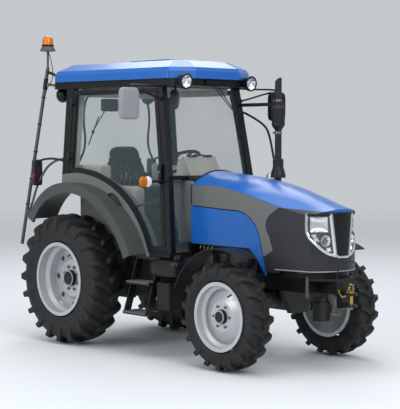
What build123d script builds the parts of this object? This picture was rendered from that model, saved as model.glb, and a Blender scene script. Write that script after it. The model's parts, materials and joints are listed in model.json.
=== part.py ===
from build123d import *
from math import cos, hypot, radians, sin, sqrt
import os

os.makedirs("parts", exist_ok=True)

# Compact four-wheel-drive cab tractor. Millimetres, +X forward, +Y left, +Z up.
# The origin is on the ground, under the middle of the whole tractor.
# Heights are from the ground, and lengths called "at" are from the rear axle, forward positive.

# Overall reach and wheelbase
front_reach = 2790.0
rear_reach = 900.0
mirror_reach = 950.0
wheelbase = 2000.0
rear_axle_x = (rear_reach - front_reach) / 2

# Clearances
pin_gap = 0.3
panel_gap = 6.0
body_gap = 8.0

# Rear wheels
rear_tyre_radius = 578.0
rear_tyre_width = 315.0
rear_wheel_y = 625.0
rear_lugs = 16
rear_lug_height = 40.0
rear_seat_radius = 305.0
rear_flange_height = 20.0
rear_rim_half = 150.0
rear_disc_out = -12.0
rear_stub_radius = 45.0
rim_windows = 8
rim_window_circle = 232.0
rim_window_radius = 27.0

# Front wheels
front_tyre_radius = 432.0
front_tyre_width = 205.0
front_wheel_y = 615.0
front_lugs = 14
front_lug_height = 30.0
front_seat_radius = 254.0
front_flange_height = 20.0
front_rim_half = 95.0
front_disc_out = 40.0
front_stub_radius = 30.0
rim_wall = 9.0
tyre_facets = 24
lug_lead = 0.2
lug_share = 0.26
lug_flare = 12.0

# Steering knuckles and front mudguards
kingpin_y = 470.0
kingpin_radius = 58.0
knuckle_radius = 72.0
knuckle_low = 300.0
kingpin_seat = 455.0
kingpin_top = 640.0
guard_radius = 525.0
guard_wall = 10.0
guard_inner_y = 545.0
guard_outer_y = 725.0
guard_front_angle = 62.0
guard_rear_angle = 160.0
guard_bar_radius = 13.0
guard_bar_back = 120.0
guard_bar_y = 485.0

# Driveline
axle_box_front = 210.0
axle_box_rear = 230.0
axle_box_half = 165.0
axle_box_low = 390.0
floor_low = 830.0
floor_wall = 40.0
trumpet_end = 385.0
brake_end = 430.0
engine_rear = 1250.0
engine_front = 1900.0
engine_half = 190.0
engine_low = 500.0
engine_top = 1240.0
drive_tube_radius = 30.0
drive_tube_z = 455.0
axle_beam_z = 530.0
axle_beam_radius = 62.0

# Front frame and tow jaw
rail_wall = 25.0
rail_low = 620.0
rail_top = 740.0
rail_rear = 1450.0
plate_half = 240.0
plate_wall = 22.0
plate_nose = 190.0
tow_box_half = 105.0
jaw_reach = 100.0
bumper_length = 250.0
bumper_front = front_reach - jaw_reach
bumper_rear = bumper_front - bumper_length
hanger_wall = 50.0
hanger_span = 300.0
jaw_half = 45.0
jaw_wall = 20.0
jaw_low = 520.0
jaw_top = 630.0
tow_pin_radius = 14.0

# Rear linkage
link_pin_at = -130.0
link_pin_z = 405.0
link_pin_radius = 14.0
link_y = 320.0
link_half = 13.0
link_eye = 34.0
link_ball_z = 430.0
link_ball_radius = 11.2
rod_at_link = 340.0
rock_at = -175.0
rock_z = 770.0
rock_radius = 28.0
arm_inner_y = 238.0
arm_wall = 30.0
arm_reach = 270.0
rod_wall = 24.0
rod_pin_radius = 12.0
pto_radius = 17.45
pto_length = 90.0
pto_z = 560.0
top_pin_radius = 9.65
top_ear_z = 700.0
drawbar_half = 32.0
drawbar_wall = 30.0
drawbar_reach = 540.0
drawbar_hole_radius = 16.0

# Cab sides: a plane that leans in with height and narrows towards the front
cab_half_width = 610.0
cab_width_at = -90.0
cab_width_z = 1900.0
side_taper = 0.119
side_lean = 0.0776
pillar_wall = 60.0
pillar_width = 54.0
front_pillar_top_at = 1006.0
front_pillar_waist_at = 1138.0
front_pillar_foot_at = 1214.0
waist_z = 1490.0
roof_low = 2260.0
rear_pillar_width = 85.0
door_rear_at = -20.0
door_low = 880.0
door_wall = 36.0
door_rail = 38.0
glass_wall = 8.0
hinge_out = 16.0
hinge_pin_radius = 8.0
hinge_barrel_radius = 15.0
hinge_length = 50.0
door_arc_at = 50.0
door_arc_z = 518.0
door_arc_radius = 1000.0

# Rear fenders and wheel arches
fender_arc_top = 1430.0
fender_foot_at = 962.0
fender_foot_z = 850.0
fender_tail_at = -490.0
fender_tail_z = 1100.0
fender_wall = 22.0
fender_skirt = 85.0
fender_inner_y = 440.0
fender_outer_y = 752.0
arch_wall = 25.0

# Cab floor, walls and fittings
floor_front = 1240.0
floor_wing_half = 545.0
seat_deck_top = 1000.0
seat_deck_front = 250.0
rear_wall_thickness = 24.0
bulkhead_half = 305.0
shelf_top = 1505.0
shelf_wall = 35.0
console_half = 185.0
console_rear = 905.0
cowl_top = 1667.0
wheel_ring_radius = 190.0
wheel_grip_radius = 14.0
wheel_hub_at = 740.0
wheel_hub_z = 1612.0
column_length = 480.0
seat_half = 245.0
seat_rear = 0.0
seat_front = 370.0
seat_low = 1285.0
seat_top = 1395.0
back_top = 1760.0

# Roof
liner_wall = 60.0
liner_rear = -300.0
liner_front = 1200.0
roof_top = 2480.0
roof_rear = -335.0
roof_front = 1245.0
liner_overhang = 12.0
liner_corner = 60.0
roof_overhang = 45.0
roof_corner = 110.0
roof_edge = 62.0
roof_shoulder = 34.0
shoulder_slope = 35.0
roof_slope = 66.0
roof_soft = 30.0
hatch_length = 520.0
hatch_width = 460.0
hatch_ahead = 120.0
hatch_rise = 18.0

# Hood: half width, shoulder height and crown height at stations along it
hood_wall = 14.0
hood_stations = [1250.0, 1560.0, 1900.0, 2290.0, 2690.0]
hood_halves = [318.0, 326.0, 331.0, 300.0, 236.0]
hood_shoulders = [1424.0, 1434.0, 1384.0, 1281.0, 1222.0]
hood_crowns = [1548.0, 1518.0, 1476.0, 1384.0, 1268.0]
hood_base = 700.0
nose_tip = 2665.0
nose_bow_radius = 350.0
nose_low = 785.0
shoulder_lip = 6.0
hood_hinge_at = 1268.0
hood_hinge_z = 1490.0
hood_pin_radius = 10.0
hood_lug_y = 115.0
hood_eye_y = 75.0
hood_lug_wall = 10.0
lamp_inner_y = 106.0
lamp_foot_y = 62.0
lamp_foot_z = 908.0
lamp_side_y = 268.0
lamp_side_z = 1122.0
lamp_top_z = 1241.0
lamp_rear = 2510.0

# Exhaust, lamps, mirrors, beacon
exhaust_at = 1530.0
exhaust_y = 432.0
exhaust_pipe_radius = 29.0
exhaust_low = 880.0
exhaust_top = 2360.0
muffler_radius = 54.0
mirror_at = 1090.0
mirror_z = 2088.0
mirror_width = 190.0
mirror_height = 260.0
mirror_depth = 60.0
arm_radius = 9.0
work_lamp_radius = 50.0
work_lamp_depth = 40.0
front_lamp_y = 380.0
rear_lamp_y = 450.0
indicator_y = 740.0
tail_lamp_at = -445.0
tail_lamp_y = 680.0
tail_arm_z = 1600.0
pole_radius = 16.0
pole_foot = (-660.0, -700.0, 850.0)
pole_head = (-400.0, -585.0, 2460.0)
beacon_top = 2750.0
beacon_radius = 72.0
step_rear = 835.0
step_front = 1130.0
step_inner_y = 540.0
step_outer_y = 715.0
step_heights = (600.0, 350.0)
step_wall = 25.0
stringer_wall = 12.0
stringer_width = 70.0
tank_rear = 985.0
tank_front = 1350.0
tank_inner_y = 250.0
tank_outer_y = 470.0
tank_low = 430.0
box_outer_y = 640.0
box_height = 225.0


def x_at(distance):
    """X of a point given by its distance forward of the rear axle."""
    return rear_axle_x + distance


def spots(points):
    """Side-view points, given from the rear axle, as sketch coordinates on an XZ plane."""
    return [(x_at(at), z) for at, z in points]


def right_plane(y):
    """Side-view plane at a distance to the right, facing right."""
    return Plane.XZ.offset(y)


def wheel_ring(points, wheel_y, axle_z):
    """Section corners of a wheel ring, given as distance outboard of its middle and radius."""
    return [(-(wheel_y + out), axle_z + radius) for out, radius in points]


# The cab's right side, with a helper that finds a side-view point on it
right_side = Plane(
    origin=(x_at(cab_width_at), -cab_half_width, cab_width_z),
    x_dir=(1, side_taper, 0),
    z_dir=(side_taper, -1, side_lean),
)


def on_side(at, z):
    """Sketch coordinates on the cab's right side of the point seen at this length and height."""
    drop = side_taper * (at - cab_width_at) + side_lean * (z - cab_width_z)
    local = right_side.to_local_coords(Vector(x_at(at), drop - cab_half_width, z))
    return (local.X, local.Y)


def pillar_at(z):
    """Middle line of the front pillar, which bends at the waist."""
    if z > waist_z:
        run = (front_pillar_top_at - front_pillar_waist_at) / (roof_low - waist_z)
    else:
        run = (front_pillar_waist_at - front_pillar_foot_at) / (waist_z - floor_low - floor_wall)
    return front_pillar_waist_at + run * (z - waist_z)


def arc_at(z, radius):
    """Length at which the door's lower arc, or one beside it, passes a height."""
    return door_arc_at + sqrt(radius**2 - (z - door_arc_z) ** 2)


floor_top = floor_low + floor_wall
rear_wall_at = door_rear_at - panel_gap - rear_pillar_width


# Tyres: faceted carcass with slanted bars that lead at the middle, alternating from side to side
def tyre(radius, width, wheel_y, seat_radius, flange_height, rim_half, axle_at, lugs, lug_height):
    """Right-hand tyre about its own axle."""
    bead = rim_half - rim_wall - pin_gap
    flange = seat_radius + flange_height + rim_wall
    tread = radius - lug_height
    half = [
        (-bead, flange),
        (-width / 2 + lug_height / 4, (flange + tread) / 2),
        (-0.47 * width, tread - 0.6 * lug_height),
        (-0.36 * width, tread),
    ]
    rings = half + [(-out, r) for out, r in reversed(half)]
    axle = Axis((x_at(axle_at), 0, radius), (0, 1, 0))
    with BuildPart() as bar:
        lead = lug_lead * width
        wide = lug_share * radius * radians(360 / lugs)
        with BuildSketch(Plane.XY.offset(2 * radius)):
            with Locations((x_at(axle_at), -wheel_y)):
                Polygon((lead + wide / 2, 0.04 * width), (lead - wide / 2, 0.04 * width),
                        (-lead - wide / 2, -0.49 * width), (-lead + wide / 2, -0.49 * width))
        extrude(amount=-1.5 * lug_height, taper=-lug_flare)
        top = sqrt(radius**2 - (lead + wide / 2) ** 2)
    with BuildPart() as carcass:
        for out, ring in rings:
            with BuildSketch(right_plane(wheel_y + out)):
                with Locations((x_at(axle_at), radius)):
                    RegularPolygon(ring, tyre_facets)
        loft(ruled=True)
        with BuildSketch(right_plane(wheel_y - width)):
            with Locations((x_at(axle_at), radius)):
                RegularPolygon(seat_radius + pin_gap, tyre_facets, major_radius=False)
        extrude(amount=2 * width, mode=Mode.SUBTRACT)
        seated = bar.part.translate((0, 0, top - radius))
        flipped = mirror(seated, about=right_plane(wheel_y), mode=Mode.PRIVATE)
        for number in range(lugs):
            add(seated.rotate(axle, number * 360 / lugs))
            add(flipped.rotate(axle, (number + 0.5) * 360 / lugs))
    return carcass


rear_tyre_right = tyre(
    rear_tyre_radius, rear_tyre_width, rear_wheel_y, rear_seat_radius, rear_flange_height, rear_rim_half, 0,
    rear_lugs, rear_lug_height,
)
front_tyre_right = tyre(
    front_tyre_radius, front_tyre_width, front_wheel_y, front_seat_radius, front_flange_height,
    front_rim_half, wheelbase, front_lugs, front_lug_height,
)


def rim_barrel(seat_radius, flange_height, rim_half):
    """Drop-centre barrel section: outer contour, then the same one wall thinner."""
    flange = seat_radius + flange_height
    outer = [
        (-rim_half, flange), (rim_wall - rim_half, flange), (rim_wall - rim_half, seat_radius),
        (-0.5 * rim_half, seat_radius), (-0.3 * rim_half, seat_radius - 3 * rim_wall),
        (0.3 * rim_half, seat_radius - 3 * rim_wall), (0.5 * rim_half, seat_radius),
        (rim_half - rim_wall, seat_radius), (rim_half - rim_wall, flange), (rim_half, flange),
    ]
    inner = [
        (rim_half, seat_radius - rim_wall), (0.5 * rim_half, seat_radius - rim_wall),
        (0.3 * rim_half, seat_radius - 4 * rim_wall), (-0.3 * rim_half, seat_radius - 4 * rim_wall),
        (-0.5 * rim_half, seat_radius - rim_wall), (-rim_half, seat_radius - rim_wall),
    ]
    return outer + inner


# Rear rim: barrel, flat disc near the middle and a hub that runs on the half shaft
rear_hub_out = rear_disc_out + 55
with BuildPart() as rear_rim_right:
    with BuildSketch(Plane.YZ.offset(x_at(0))):
        Polygon(*wheel_ring(rim_barrel(rear_seat_radius, rear_flange_height, rear_rim_half),
                            rear_wheel_y, rear_tyre_radius))
        disc = [
            (rear_disc_out, 60), (rear_disc_out, 160), (rear_disc_out - 25, 190),
            (rear_disc_out - 25, rear_seat_radius - 3.5 * rim_wall),
            (rear_disc_out - 13, rear_seat_radius - 3.5 * rim_wall),
            (rear_disc_out - 13, 195), (rear_disc_out + 12, 165), (rear_disc_out + 12, 60),
        ]
        Polygon(*wheel_ring(disc, rear_wheel_y, rear_tyre_radius))
        hub = [
            (brake_end + 30 - rear_wheel_y, rear_stub_radius + pin_gap), (brake_end + 30 - rear_wheel_y, 100),
            (rear_disc_out - 30, 100), (rear_disc_out - 10, 130), (rear_disc_out + 8, 130),
            (rear_disc_out + 8, 72), (rear_hub_out, 66), (rear_hub_out, 0), (rear_hub_out - 25, 0),
            (rear_hub_out - 25, rear_stub_radius + pin_gap),
        ]
        Polygon(*wheel_ring(hub, rear_wheel_y, rear_tyre_radius))
    revolve(axis=Axis((x_at(0), 0, rear_tyre_radius), (0, 1, 0)))
    with BuildSketch(right_plane(rear_wheel_y + rear_disc_out - 2 * rim_window_radius)):
        with Locations((x_at(0), rear_tyre_radius)):
            with PolarLocations(rim_window_circle, rim_windows):
                RegularPolygon(rim_window_radius, 8)
    extrude(amount=3 * rim_window_radius, mode=Mode.SUBTRACT)

# Front rim: barrel, dished disc and hub
front_hub_out = front_disc_out + 45
knuckle_face_y = kingpin_y + knuckle_radius
with BuildPart() as front_rim_right:
    with BuildSketch(Plane.YZ.offset(x_at(wheelbase))):
        Polygon(*wheel_ring(rim_barrel(front_seat_radius, front_flange_height, front_rim_half),
                            front_wheel_y, front_tyre_radius))
        dish = [
            (front_disc_out, 60), (front_disc_out, 115), (-12, front_seat_radius - 3.5 * rim_wall),
            (0, front_seat_radius - 3.5 * rim_wall), (front_disc_out + 12, 120), (front_disc_out + 12, 60),
        ]
        Polygon(*wheel_ring(dish, front_wheel_y, front_tyre_radius))
        boss = [
            (knuckle_face_y + body_gap - front_wheel_y, front_stub_radius + pin_gap),
            (knuckle_face_y + body_gap - front_wheel_y, 78),
            (front_disc_out - 20, 78), (front_disc_out, 100),
            (front_disc_out + 6, 100), (front_disc_out + 6, 55),
            (front_hub_out, 50), (front_hub_out, 0), (front_hub_out - 18, 0),
            (front_hub_out - 18, front_stub_radius + pin_gap),
        ]
        Polygon(*wheel_ring(boss, front_wheel_y, front_tyre_radius))
    revolve(axis=Axis((x_at(wheelbase), 0, front_tyre_radius), (0, 1, 0)))

# Rear axle: centre box, trumpets, half shafts, link brackets, power take-off stub and top-link ears
with BuildPart() as rear_axle:
    with BuildSketch(Plane.XZ):
        Polygon(*spots([
            (-axle_box_rear, axle_box_low), (axle_box_front, axle_box_low), (axle_box_front, floor_low),
            (-60, floor_low), (-axle_box_rear, rock_z + rock_radius + 20),
        ]))
    extrude(amount=axle_box_half, both=True)
    with BuildSketch(Plane.YZ.offset(x_at(0))):
        trumpet = [
            (0, 0), (0, 150), (axle_box_half, 130), (axle_box_half + 40, 108), (trumpet_end - 20, 88),
            (trumpet_end, 128), (brake_end, 128), (brake_end, rear_stub_radius),
            (rear_wheel_y + rear_hub_out - 30, rear_stub_radius), (rear_wheel_y + rear_hub_out - 30, 0),
        ]
        Polygon(*[(-y, rear_tyre_radius + radius) for y, radius in trumpet])
        mirror(about=Plane.YZ)
    revolve(axis=Axis((x_at(0), 0, rear_tyre_radius), (0, 1, 0)))
    link_plate_y = link_y - link_half - body_gap
    for side in (1, -1):
        with BuildSketch(Plane.XZ.offset(side * link_plate_y)):
            with BuildLine():
                Polyline(spots([
                    (40, rear_tyre_radius), (link_pin_at + 30, link_pin_z - 25),
                    (link_pin_at - 30, link_pin_z - 25), (link_pin_at - 30, link_pin_z + 30),
                    (-60, rear_tyre_radius),
                ]), close=True)
            make_face()
        extrude(amount=-side * 18)
        with BuildSketch(Plane.XZ.offset(side * link_plate_y)):
            with Locations((x_at(link_pin_at), link_pin_z)):
                Circle(link_pin_radius)
        extrude(amount=side * (2 * link_half + 2 * body_gap))
        with BuildSketch(Plane.XZ.offset(side * axle_box_half)):
            with Locations((x_at(rock_at), rock_z)):
                Circle(rock_radius)
        extrude(amount=side * (arm_inner_y + arm_wall - axle_box_half + 4))
    with BuildSketch(Plane.YZ.offset(x_at(-axle_box_rear))):
        with Locations((0, pto_z)):
            Circle(pto_radius)
    extrude(amount=-pto_length)
    with BuildSketch(Plane.XZ):
        Polygon(*spots([
            (-axle_box_rear, top_ear_z - 35), (-axle_box_rear - 70, top_ear_z - 25),
            (-axle_box_rear - 70, top_ear_z + 25), (-axle_box_rear, top_ear_z + 45),
        ]))
    extrude(amount=40, both=True)
    with BuildSketch(Plane.XZ):
        Polygon(*spots([
            (-axle_box_rear, top_ear_z - 45), (-axle_box_rear - 90, top_ear_z - 45),
            (-axle_box_rear - 90, top_ear_z + 60), (-axle_box_rear, top_ear_z + 60),
        ]))
    extrude(amount=25, both=True, mode=Mode.SUBTRACT)
    with BuildSketch(Plane.XZ):
        with Locations((x_at(-axle_box_rear - 42), top_ear_z)):
            Circle(top_pin_radius)
    extrude(amount=60, both=True, mode=Mode.SUBTRACT)

# Gearbox with the drop box and the tube that drives the front axle
hanger_rear_at = wheelbase - hanger_span / 2 - hanger_wall
with BuildPart() as gearbox:
    with BuildSketch(Plane.XZ):
        Polygon(*spots([
            (axle_box_front, 420), (700, 440), (engine_rear, 430), (engine_rear, 790),
            (1150, floor_low), (axle_box_front, floor_low),
        ]))
    extrude(amount=150, both=True)
    with BuildSketch(Plane.YZ.offset(x_at(engine_rear))):
        with Locations((0, 640)):
            RectangleRounded(2 * engine_half, 330, 60)
    extrude(amount=-110)
    with BuildSketch(Plane.YZ.offset(x_at(850))):
        with Locations((0, drive_tube_z)):
            RectangleRounded(140, 120, 30)
    extrude(amount=120)
    with BuildSketch(Plane.YZ.offset(x_at(850))):
        with Locations((0, drive_tube_z)):
            Circle(drive_tube_radius)
    extrude(amount=hanger_rear_at - 850)

# Engine: one plain block with sump and head
with BuildPart() as engine_block:
    with BuildSketch(Plane.YZ.offset(x_at(engine_rear))):
        block = [
            (110, engine_low), (140, 640), (engine_half, 660),
            (engine_half, 1110), (120, 1150), (120, engine_top),
        ]
        Polygon(*block, *[(-y, z) for y, z in reversed(block)])
    extrude(amount=engine_front - engine_rear)
    with BuildSketch(Plane.XZ):
        Polygon(*spots([
            (hanger_rear_at - body_gap, 0), (hanger_rear_at - body_gap, rail_top + body_gap),
            (engine_front + body_gap, rail_top + body_gap), (engine_front + body_gap, 0),
        ]))
    extrude(amount=engine_half, both=True, mode=Mode.SUBTRACT)

# Front frame: two rails, bumper block, axle hangers and tow jaw
with BuildPart() as front_frame:
    rail_front = bumper_front - plate_nose
    rail_outer = engine_half + rail_wall
    with BuildSketch(Plane.XY.offset(rail_low)):
        Polygon(*[(x_at(at), y) for at, y in [
            (rail_rear, engine_half), (rail_front - rail_wall, engine_half),
            (rail_front - rail_wall, -engine_half), (rail_rear, -engine_half),
            (rail_rear, -rail_outer), (rail_front, -rail_outer),
            (rail_front, rail_outer), (rail_rear, rail_outer),
        ]])
    extrude(amount=rail_top - rail_low)
    with BuildSketch(Plane.XY.offset(rail_top - plate_wall)):
        edge = [
            (bumper_rear - bumper_length, rail_outer), (bumper_rear - bumper_length / 2, plate_half),
            (rail_front, plate_half), (bumper_front - plate_nose / 3, 0.62 * plate_half),
            (bumper_front, tow_box_half),
        ]
        Polygon(*[(x_at(at), y) for at, y in edge], *[(x_at(at), -y) for at, y in reversed(edge)])
    extrude(amount=plate_wall)
    with BuildSketch(Plane.XY.offset(rail_low)):
        with Locations((x_at(bumper_front - plate_nose / 2), 0)):
            Rectangle(plate_nose, 2 * tow_box_half)
            Rectangle(plate_nose - 2 * plate_wall, 2 * (tow_box_half - plate_wall), mode=Mode.SUBTRACT)
    extrude(amount=rail_top - rail_low)
    for hanger_at in (hanger_rear_at, wheelbase + hanger_span / 2):
        with BuildSketch(Plane.YZ.offset(x_at(hanger_at))):
            Polygon((engine_half, rail_top), (engine_half, rail_low), (90, axle_beam_z - 105),
                    (-90, axle_beam_z - 105), (-engine_half, rail_low), (-engine_half, rail_top))
        extrude(amount=hanger_wall)
    with BuildSketch(Plane.YZ.offset(x_at(bumper_front))):
        Polygon((jaw_half + 10, jaw_low - 10), (jaw_half + 10, rail_low + 40),
                (-jaw_half - 10, rail_low + 40), (-jaw_half - 10, jaw_low - 10))
    extrude(amount=-2 * plate_wall)
    for jaw_z in (jaw_low, jaw_top - jaw_wall):
        with BuildSketch(Plane.XY.offset(jaw_z)):
            with BuildLine():
                Line((x_at(bumper_front), jaw_half), (x_at(front_reach - jaw_half), jaw_half))
                ThreePointArc((x_at(front_reach - jaw_half), jaw_half), (x_at(front_reach), 0),
                              (x_at(front_reach - jaw_half), -jaw_half))
                Polyline((x_at(front_reach - jaw_half), -jaw_half), (x_at(bumper_front), -jaw_half),
                         (x_at(bumper_front), jaw_half))
            make_face()
            with Locations((x_at(front_reach - jaw_half), 0)):
                Circle(tow_pin_radius + pin_gap, mode=Mode.SUBTRACT)
        extrude(amount=jaw_wall)

with BuildPart() as tow_pin:
    with BuildSketch(Plane.XY.offset(jaw_low - 15)):
        with Locations((x_at(front_reach - jaw_half), 0)):
            Circle(tow_pin_radius)
    extrude(amount=jaw_top - jaw_low + 15)
    with BuildSketch(Plane.XY.offset(jaw_top)):
        with Locations((x_at(front_reach - jaw_half), 0)):
            Circle(tow_pin_radius + 8)
    extrude(amount=12)
    with BuildSketch(Plane.XZ):
        with Locations((x_at(front_reach - jaw_half), jaw_top + 34)):
            Circle(26)
            Circle(17, mode=Mode.SUBTRACT)
    extrude(amount=5, both=True)

# Front axle: centre casing, beam and the upright housings of the kingpins
with BuildPart() as front_axle:
    with BuildSketch(Plane.YZ.offset(x_at(hanger_rear_at + hanger_wall))):
        with Locations((0, axle_beam_z)):
            Circle(100)
    extrude(amount=hanger_span)
    with BuildSketch(Plane.XZ):
        with Locations((x_at(wheelbase), axle_beam_z)):
            Circle(axle_beam_radius)
    extrude(amount=kingpin_y, both=True)
    with BuildSketch(Plane.XY.offset(kingpin_seat)):
        with Locations((x_at(wheelbase), kingpin_y), (x_at(wheelbase), -kingpin_y)):
            Circle(kingpin_radius)
    extrude(amount=kingpin_top - kingpin_seat)

# Right knuckle: swivel housing under the kingpin, hub face and spindle
with BuildPart() as knuckle_right:
    with BuildSketch(Plane.XY.offset(knuckle_low)):
        with Locations((x_at(wheelbase), -kingpin_y)):
            Circle(knuckle_radius)
    extrude(amount=kingpin_seat - pin_gap - knuckle_low)
    with BuildSketch(right_plane(kingpin_y)):
        with Locations((x_at(wheelbase), front_tyre_radius - 35)):
            Circle(55)
    extrude(amount=knuckle_face_y - kingpin_y)
    stub_root = kingpin_y + kingpin_radius + 2
    with BuildSketch(right_plane(stub_root)):
        with Locations((x_at(wheelbase), front_tyre_radius)):
            Circle(front_stub_radius)
    extrude(amount=front_wheel_y + front_hub_out - 22 - stub_root)
    with BuildSketch(right_plane(guard_bar_y - guard_bar_radius)):
        with Locations((x_at(wheelbase - guard_bar_back / 2), 380)):
            Rectangle(guard_bar_back + 2 * guard_bar_radius, 2 * guard_bar_radius)
    extrude(amount=2 * guard_bar_radius)

# Right front mudguard: arched sheet on an upright bar from the knuckle
guard_bar_foot = 380 + guard_bar_radius
guard_bar_top = front_tyre_radius + sqrt((guard_radius) ** 2 - guard_bar_back**2) - 2 * guard_bar_radius
with BuildPart() as front_guard_right:
    with BuildSketch(right_plane(guard_inner_y)):
        with BuildLine():
            for radius in (guard_radius, guard_radius + guard_wall):
                CenterArc((x_at(wheelbase), front_tyre_radius), radius, guard_front_angle,
                          guard_rear_angle - guard_front_angle)
            for angle in (guard_front_angle, guard_rear_angle):
                PolarLine((x_at(wheelbase) + guard_radius * cos(radians(angle)),
                           front_tyre_radius + guard_radius * sin(radians(angle))), guard_wall, angle)
        make_face()
    extrude(amount=guard_outer_y - guard_inner_y)
    with BuildSketch(Plane.XY.offset(guard_bar_foot)):
        with Locations((x_at(wheelbase - guard_bar_back), -guard_bar_y)):
            Circle(guard_bar_radius)
    extrude(amount=guard_bar_top + 2 * guard_bar_radius - guard_bar_foot)
    with BuildSketch(right_plane(guard_bar_y - guard_bar_radius)):
        with Locations((x_at(wheelbase - guard_bar_back), guard_bar_top + guard_bar_radius)):
            Rectangle(2 * guard_bar_radius, 2.4 * guard_bar_radius)
    extrude(amount=guard_outer_y - 40 - guard_bar_y)

# Rear linkage: drawbar, lower links, lift arms and lift rods
with BuildPart() as drawbar:
    with BuildSketch(Plane.XY.offset(axle_box_low - drawbar_wall)):
        with BuildLine():
            Polyline((x_at(-drawbar_reach + drawbar_half), drawbar_half), (x_at(100), drawbar_half),
                     (x_at(100), -drawbar_half), (x_at(-drawbar_reach + drawbar_half), -drawbar_half))
            ThreePointArc((x_at(-drawbar_reach + drawbar_half), -drawbar_half), (x_at(-drawbar_reach), 0),
                          (x_at(-drawbar_reach + drawbar_half), drawbar_half))
        make_face()
        with Locations((x_at(-drawbar_reach + drawbar_half + 8), 0)):
            Circle(drawbar_hole_radius, mode=Mode.SUBTRACT)
    extrude(amount=drawbar_wall)

link_ball_at = -rear_reach + link_eye
with BuildPart() as lower_links:
    with BuildSketch(right_plane(link_y - link_half)):
        with Locations((x_at(link_pin_at), link_pin_z), (x_at(link_ball_at), link_ball_z)):
            Circle(link_eye)
        Polygon(*spots([
            (link_pin_at, link_pin_z - 28), (link_pin_at, link_pin_z + 28),
            (link_ball_at, link_ball_z + 24), (link_ball_at, link_ball_z - 24),
        ]))
        with Locations((x_at(link_pin_at), link_pin_z)):
            Circle(link_pin_radius + pin_gap, mode=Mode.SUBTRACT)
        with Locations((x_at(link_ball_at), link_ball_z)):
            Circle(link_ball_radius, mode=Mode.SUBTRACT)
    extrude(amount=2 * link_half)
    mirror(about=Plane.XZ)

arm_end_at = rock_at - arm_reach
arm_end_z = rock_z + 15
rod_inner_y = arm_inner_y + arm_wall + body_gap
with BuildPart() as lift_arms:
    with BuildSketch(right_plane(arm_inner_y)):
        with Locations((x_at(rock_at), rock_z)):
            Circle(rock_radius + 16)
        with Locations((x_at(arm_end_at), arm_end_z)):
            Circle(rod_pin_radius + 16)
        Polygon(*spots([
            (rock_at, rock_z - 38), (rock_at, rock_z + 38),
            (arm_end_at, arm_end_z + 24), (arm_end_at, arm_end_z - 24),
        ]))
        with Locations((x_at(rock_at), rock_z)):
            Circle(rock_radius + pin_gap, mode=Mode.SUBTRACT)
    extrude(amount=arm_wall)
    with BuildSketch(right_plane(arm_inner_y)):
        with Locations((x_at(arm_end_at), arm_end_z)):
            Circle(rod_pin_radius)
    extrude(amount=arm_wall + body_gap + rod_wall)
    mirror(about=Plane.XZ)

rod_foot_at = link_pin_at - rod_at_link
rod_foot_z = link_pin_z + (link_ball_z - link_pin_z) * rod_at_link / (link_pin_at - link_ball_at)
with BuildPart() as lift_rods:
    with BuildSketch(right_plane(rod_inner_y)):
        with Locations((x_at(arm_end_at), arm_end_z), (x_at(rod_foot_at), rod_foot_z)):
            Circle(rod_pin_radius + 14)
        Polygon(*spots([
            (arm_end_at - 17, arm_end_z), (arm_end_at + 17, arm_end_z), (rod_foot_at + 17, rod_foot_z),
            (rod_foot_at - 17, rod_foot_z),
        ]))
        with Locations((x_at(arm_end_at), arm_end_z)):
            Circle(rod_pin_radius + pin_gap, mode=Mode.SUBTRACT)
    extrude(amount=rod_wall)
    mirror(about=Plane.XZ)

# Rear fenders: one arched sheet with an outer skirt, over each rear wheel
fender_mid_at = 620.0
fender_mid_z = 1262.0
with BuildPart() as rear_fenders:
    with BuildSketch(right_plane(fender_inner_y)):
        with BuildLine():
            front_run = ThreePointArc(*spots([(fender_foot_at, fender_foot_z), (fender_mid_at, fender_mid_z),
                                              (door_arc_at, fender_arc_top)]))
            TangentArc(*spots([(door_arc_at, fender_arc_top), (fender_tail_at, fender_tail_z)]),
                       tangent=front_run % 1)
            offset(amount=fender_wall, side=Side.LEFT)
        make_face()
    extrude(amount=fender_outer_y - fender_inner_y)
    with BuildSketch(right_plane(fender_outer_y)):
        with BuildLine():
            front_run = ThreePointArc(*spots([(fender_foot_at, fender_foot_z), (fender_mid_at, fender_mid_z),
                                              (door_arc_at, fender_arc_top)]))
            TangentArc(*spots([(door_arc_at, fender_arc_top), (fender_tail_at, fender_tail_z)]),
                       tangent=front_run % 1)
            offset(amount=fender_skirt, side=Side.LEFT)
        make_face()
    extrude(amount=-fender_wall)
    mirror(about=Plane.XZ)

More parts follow.
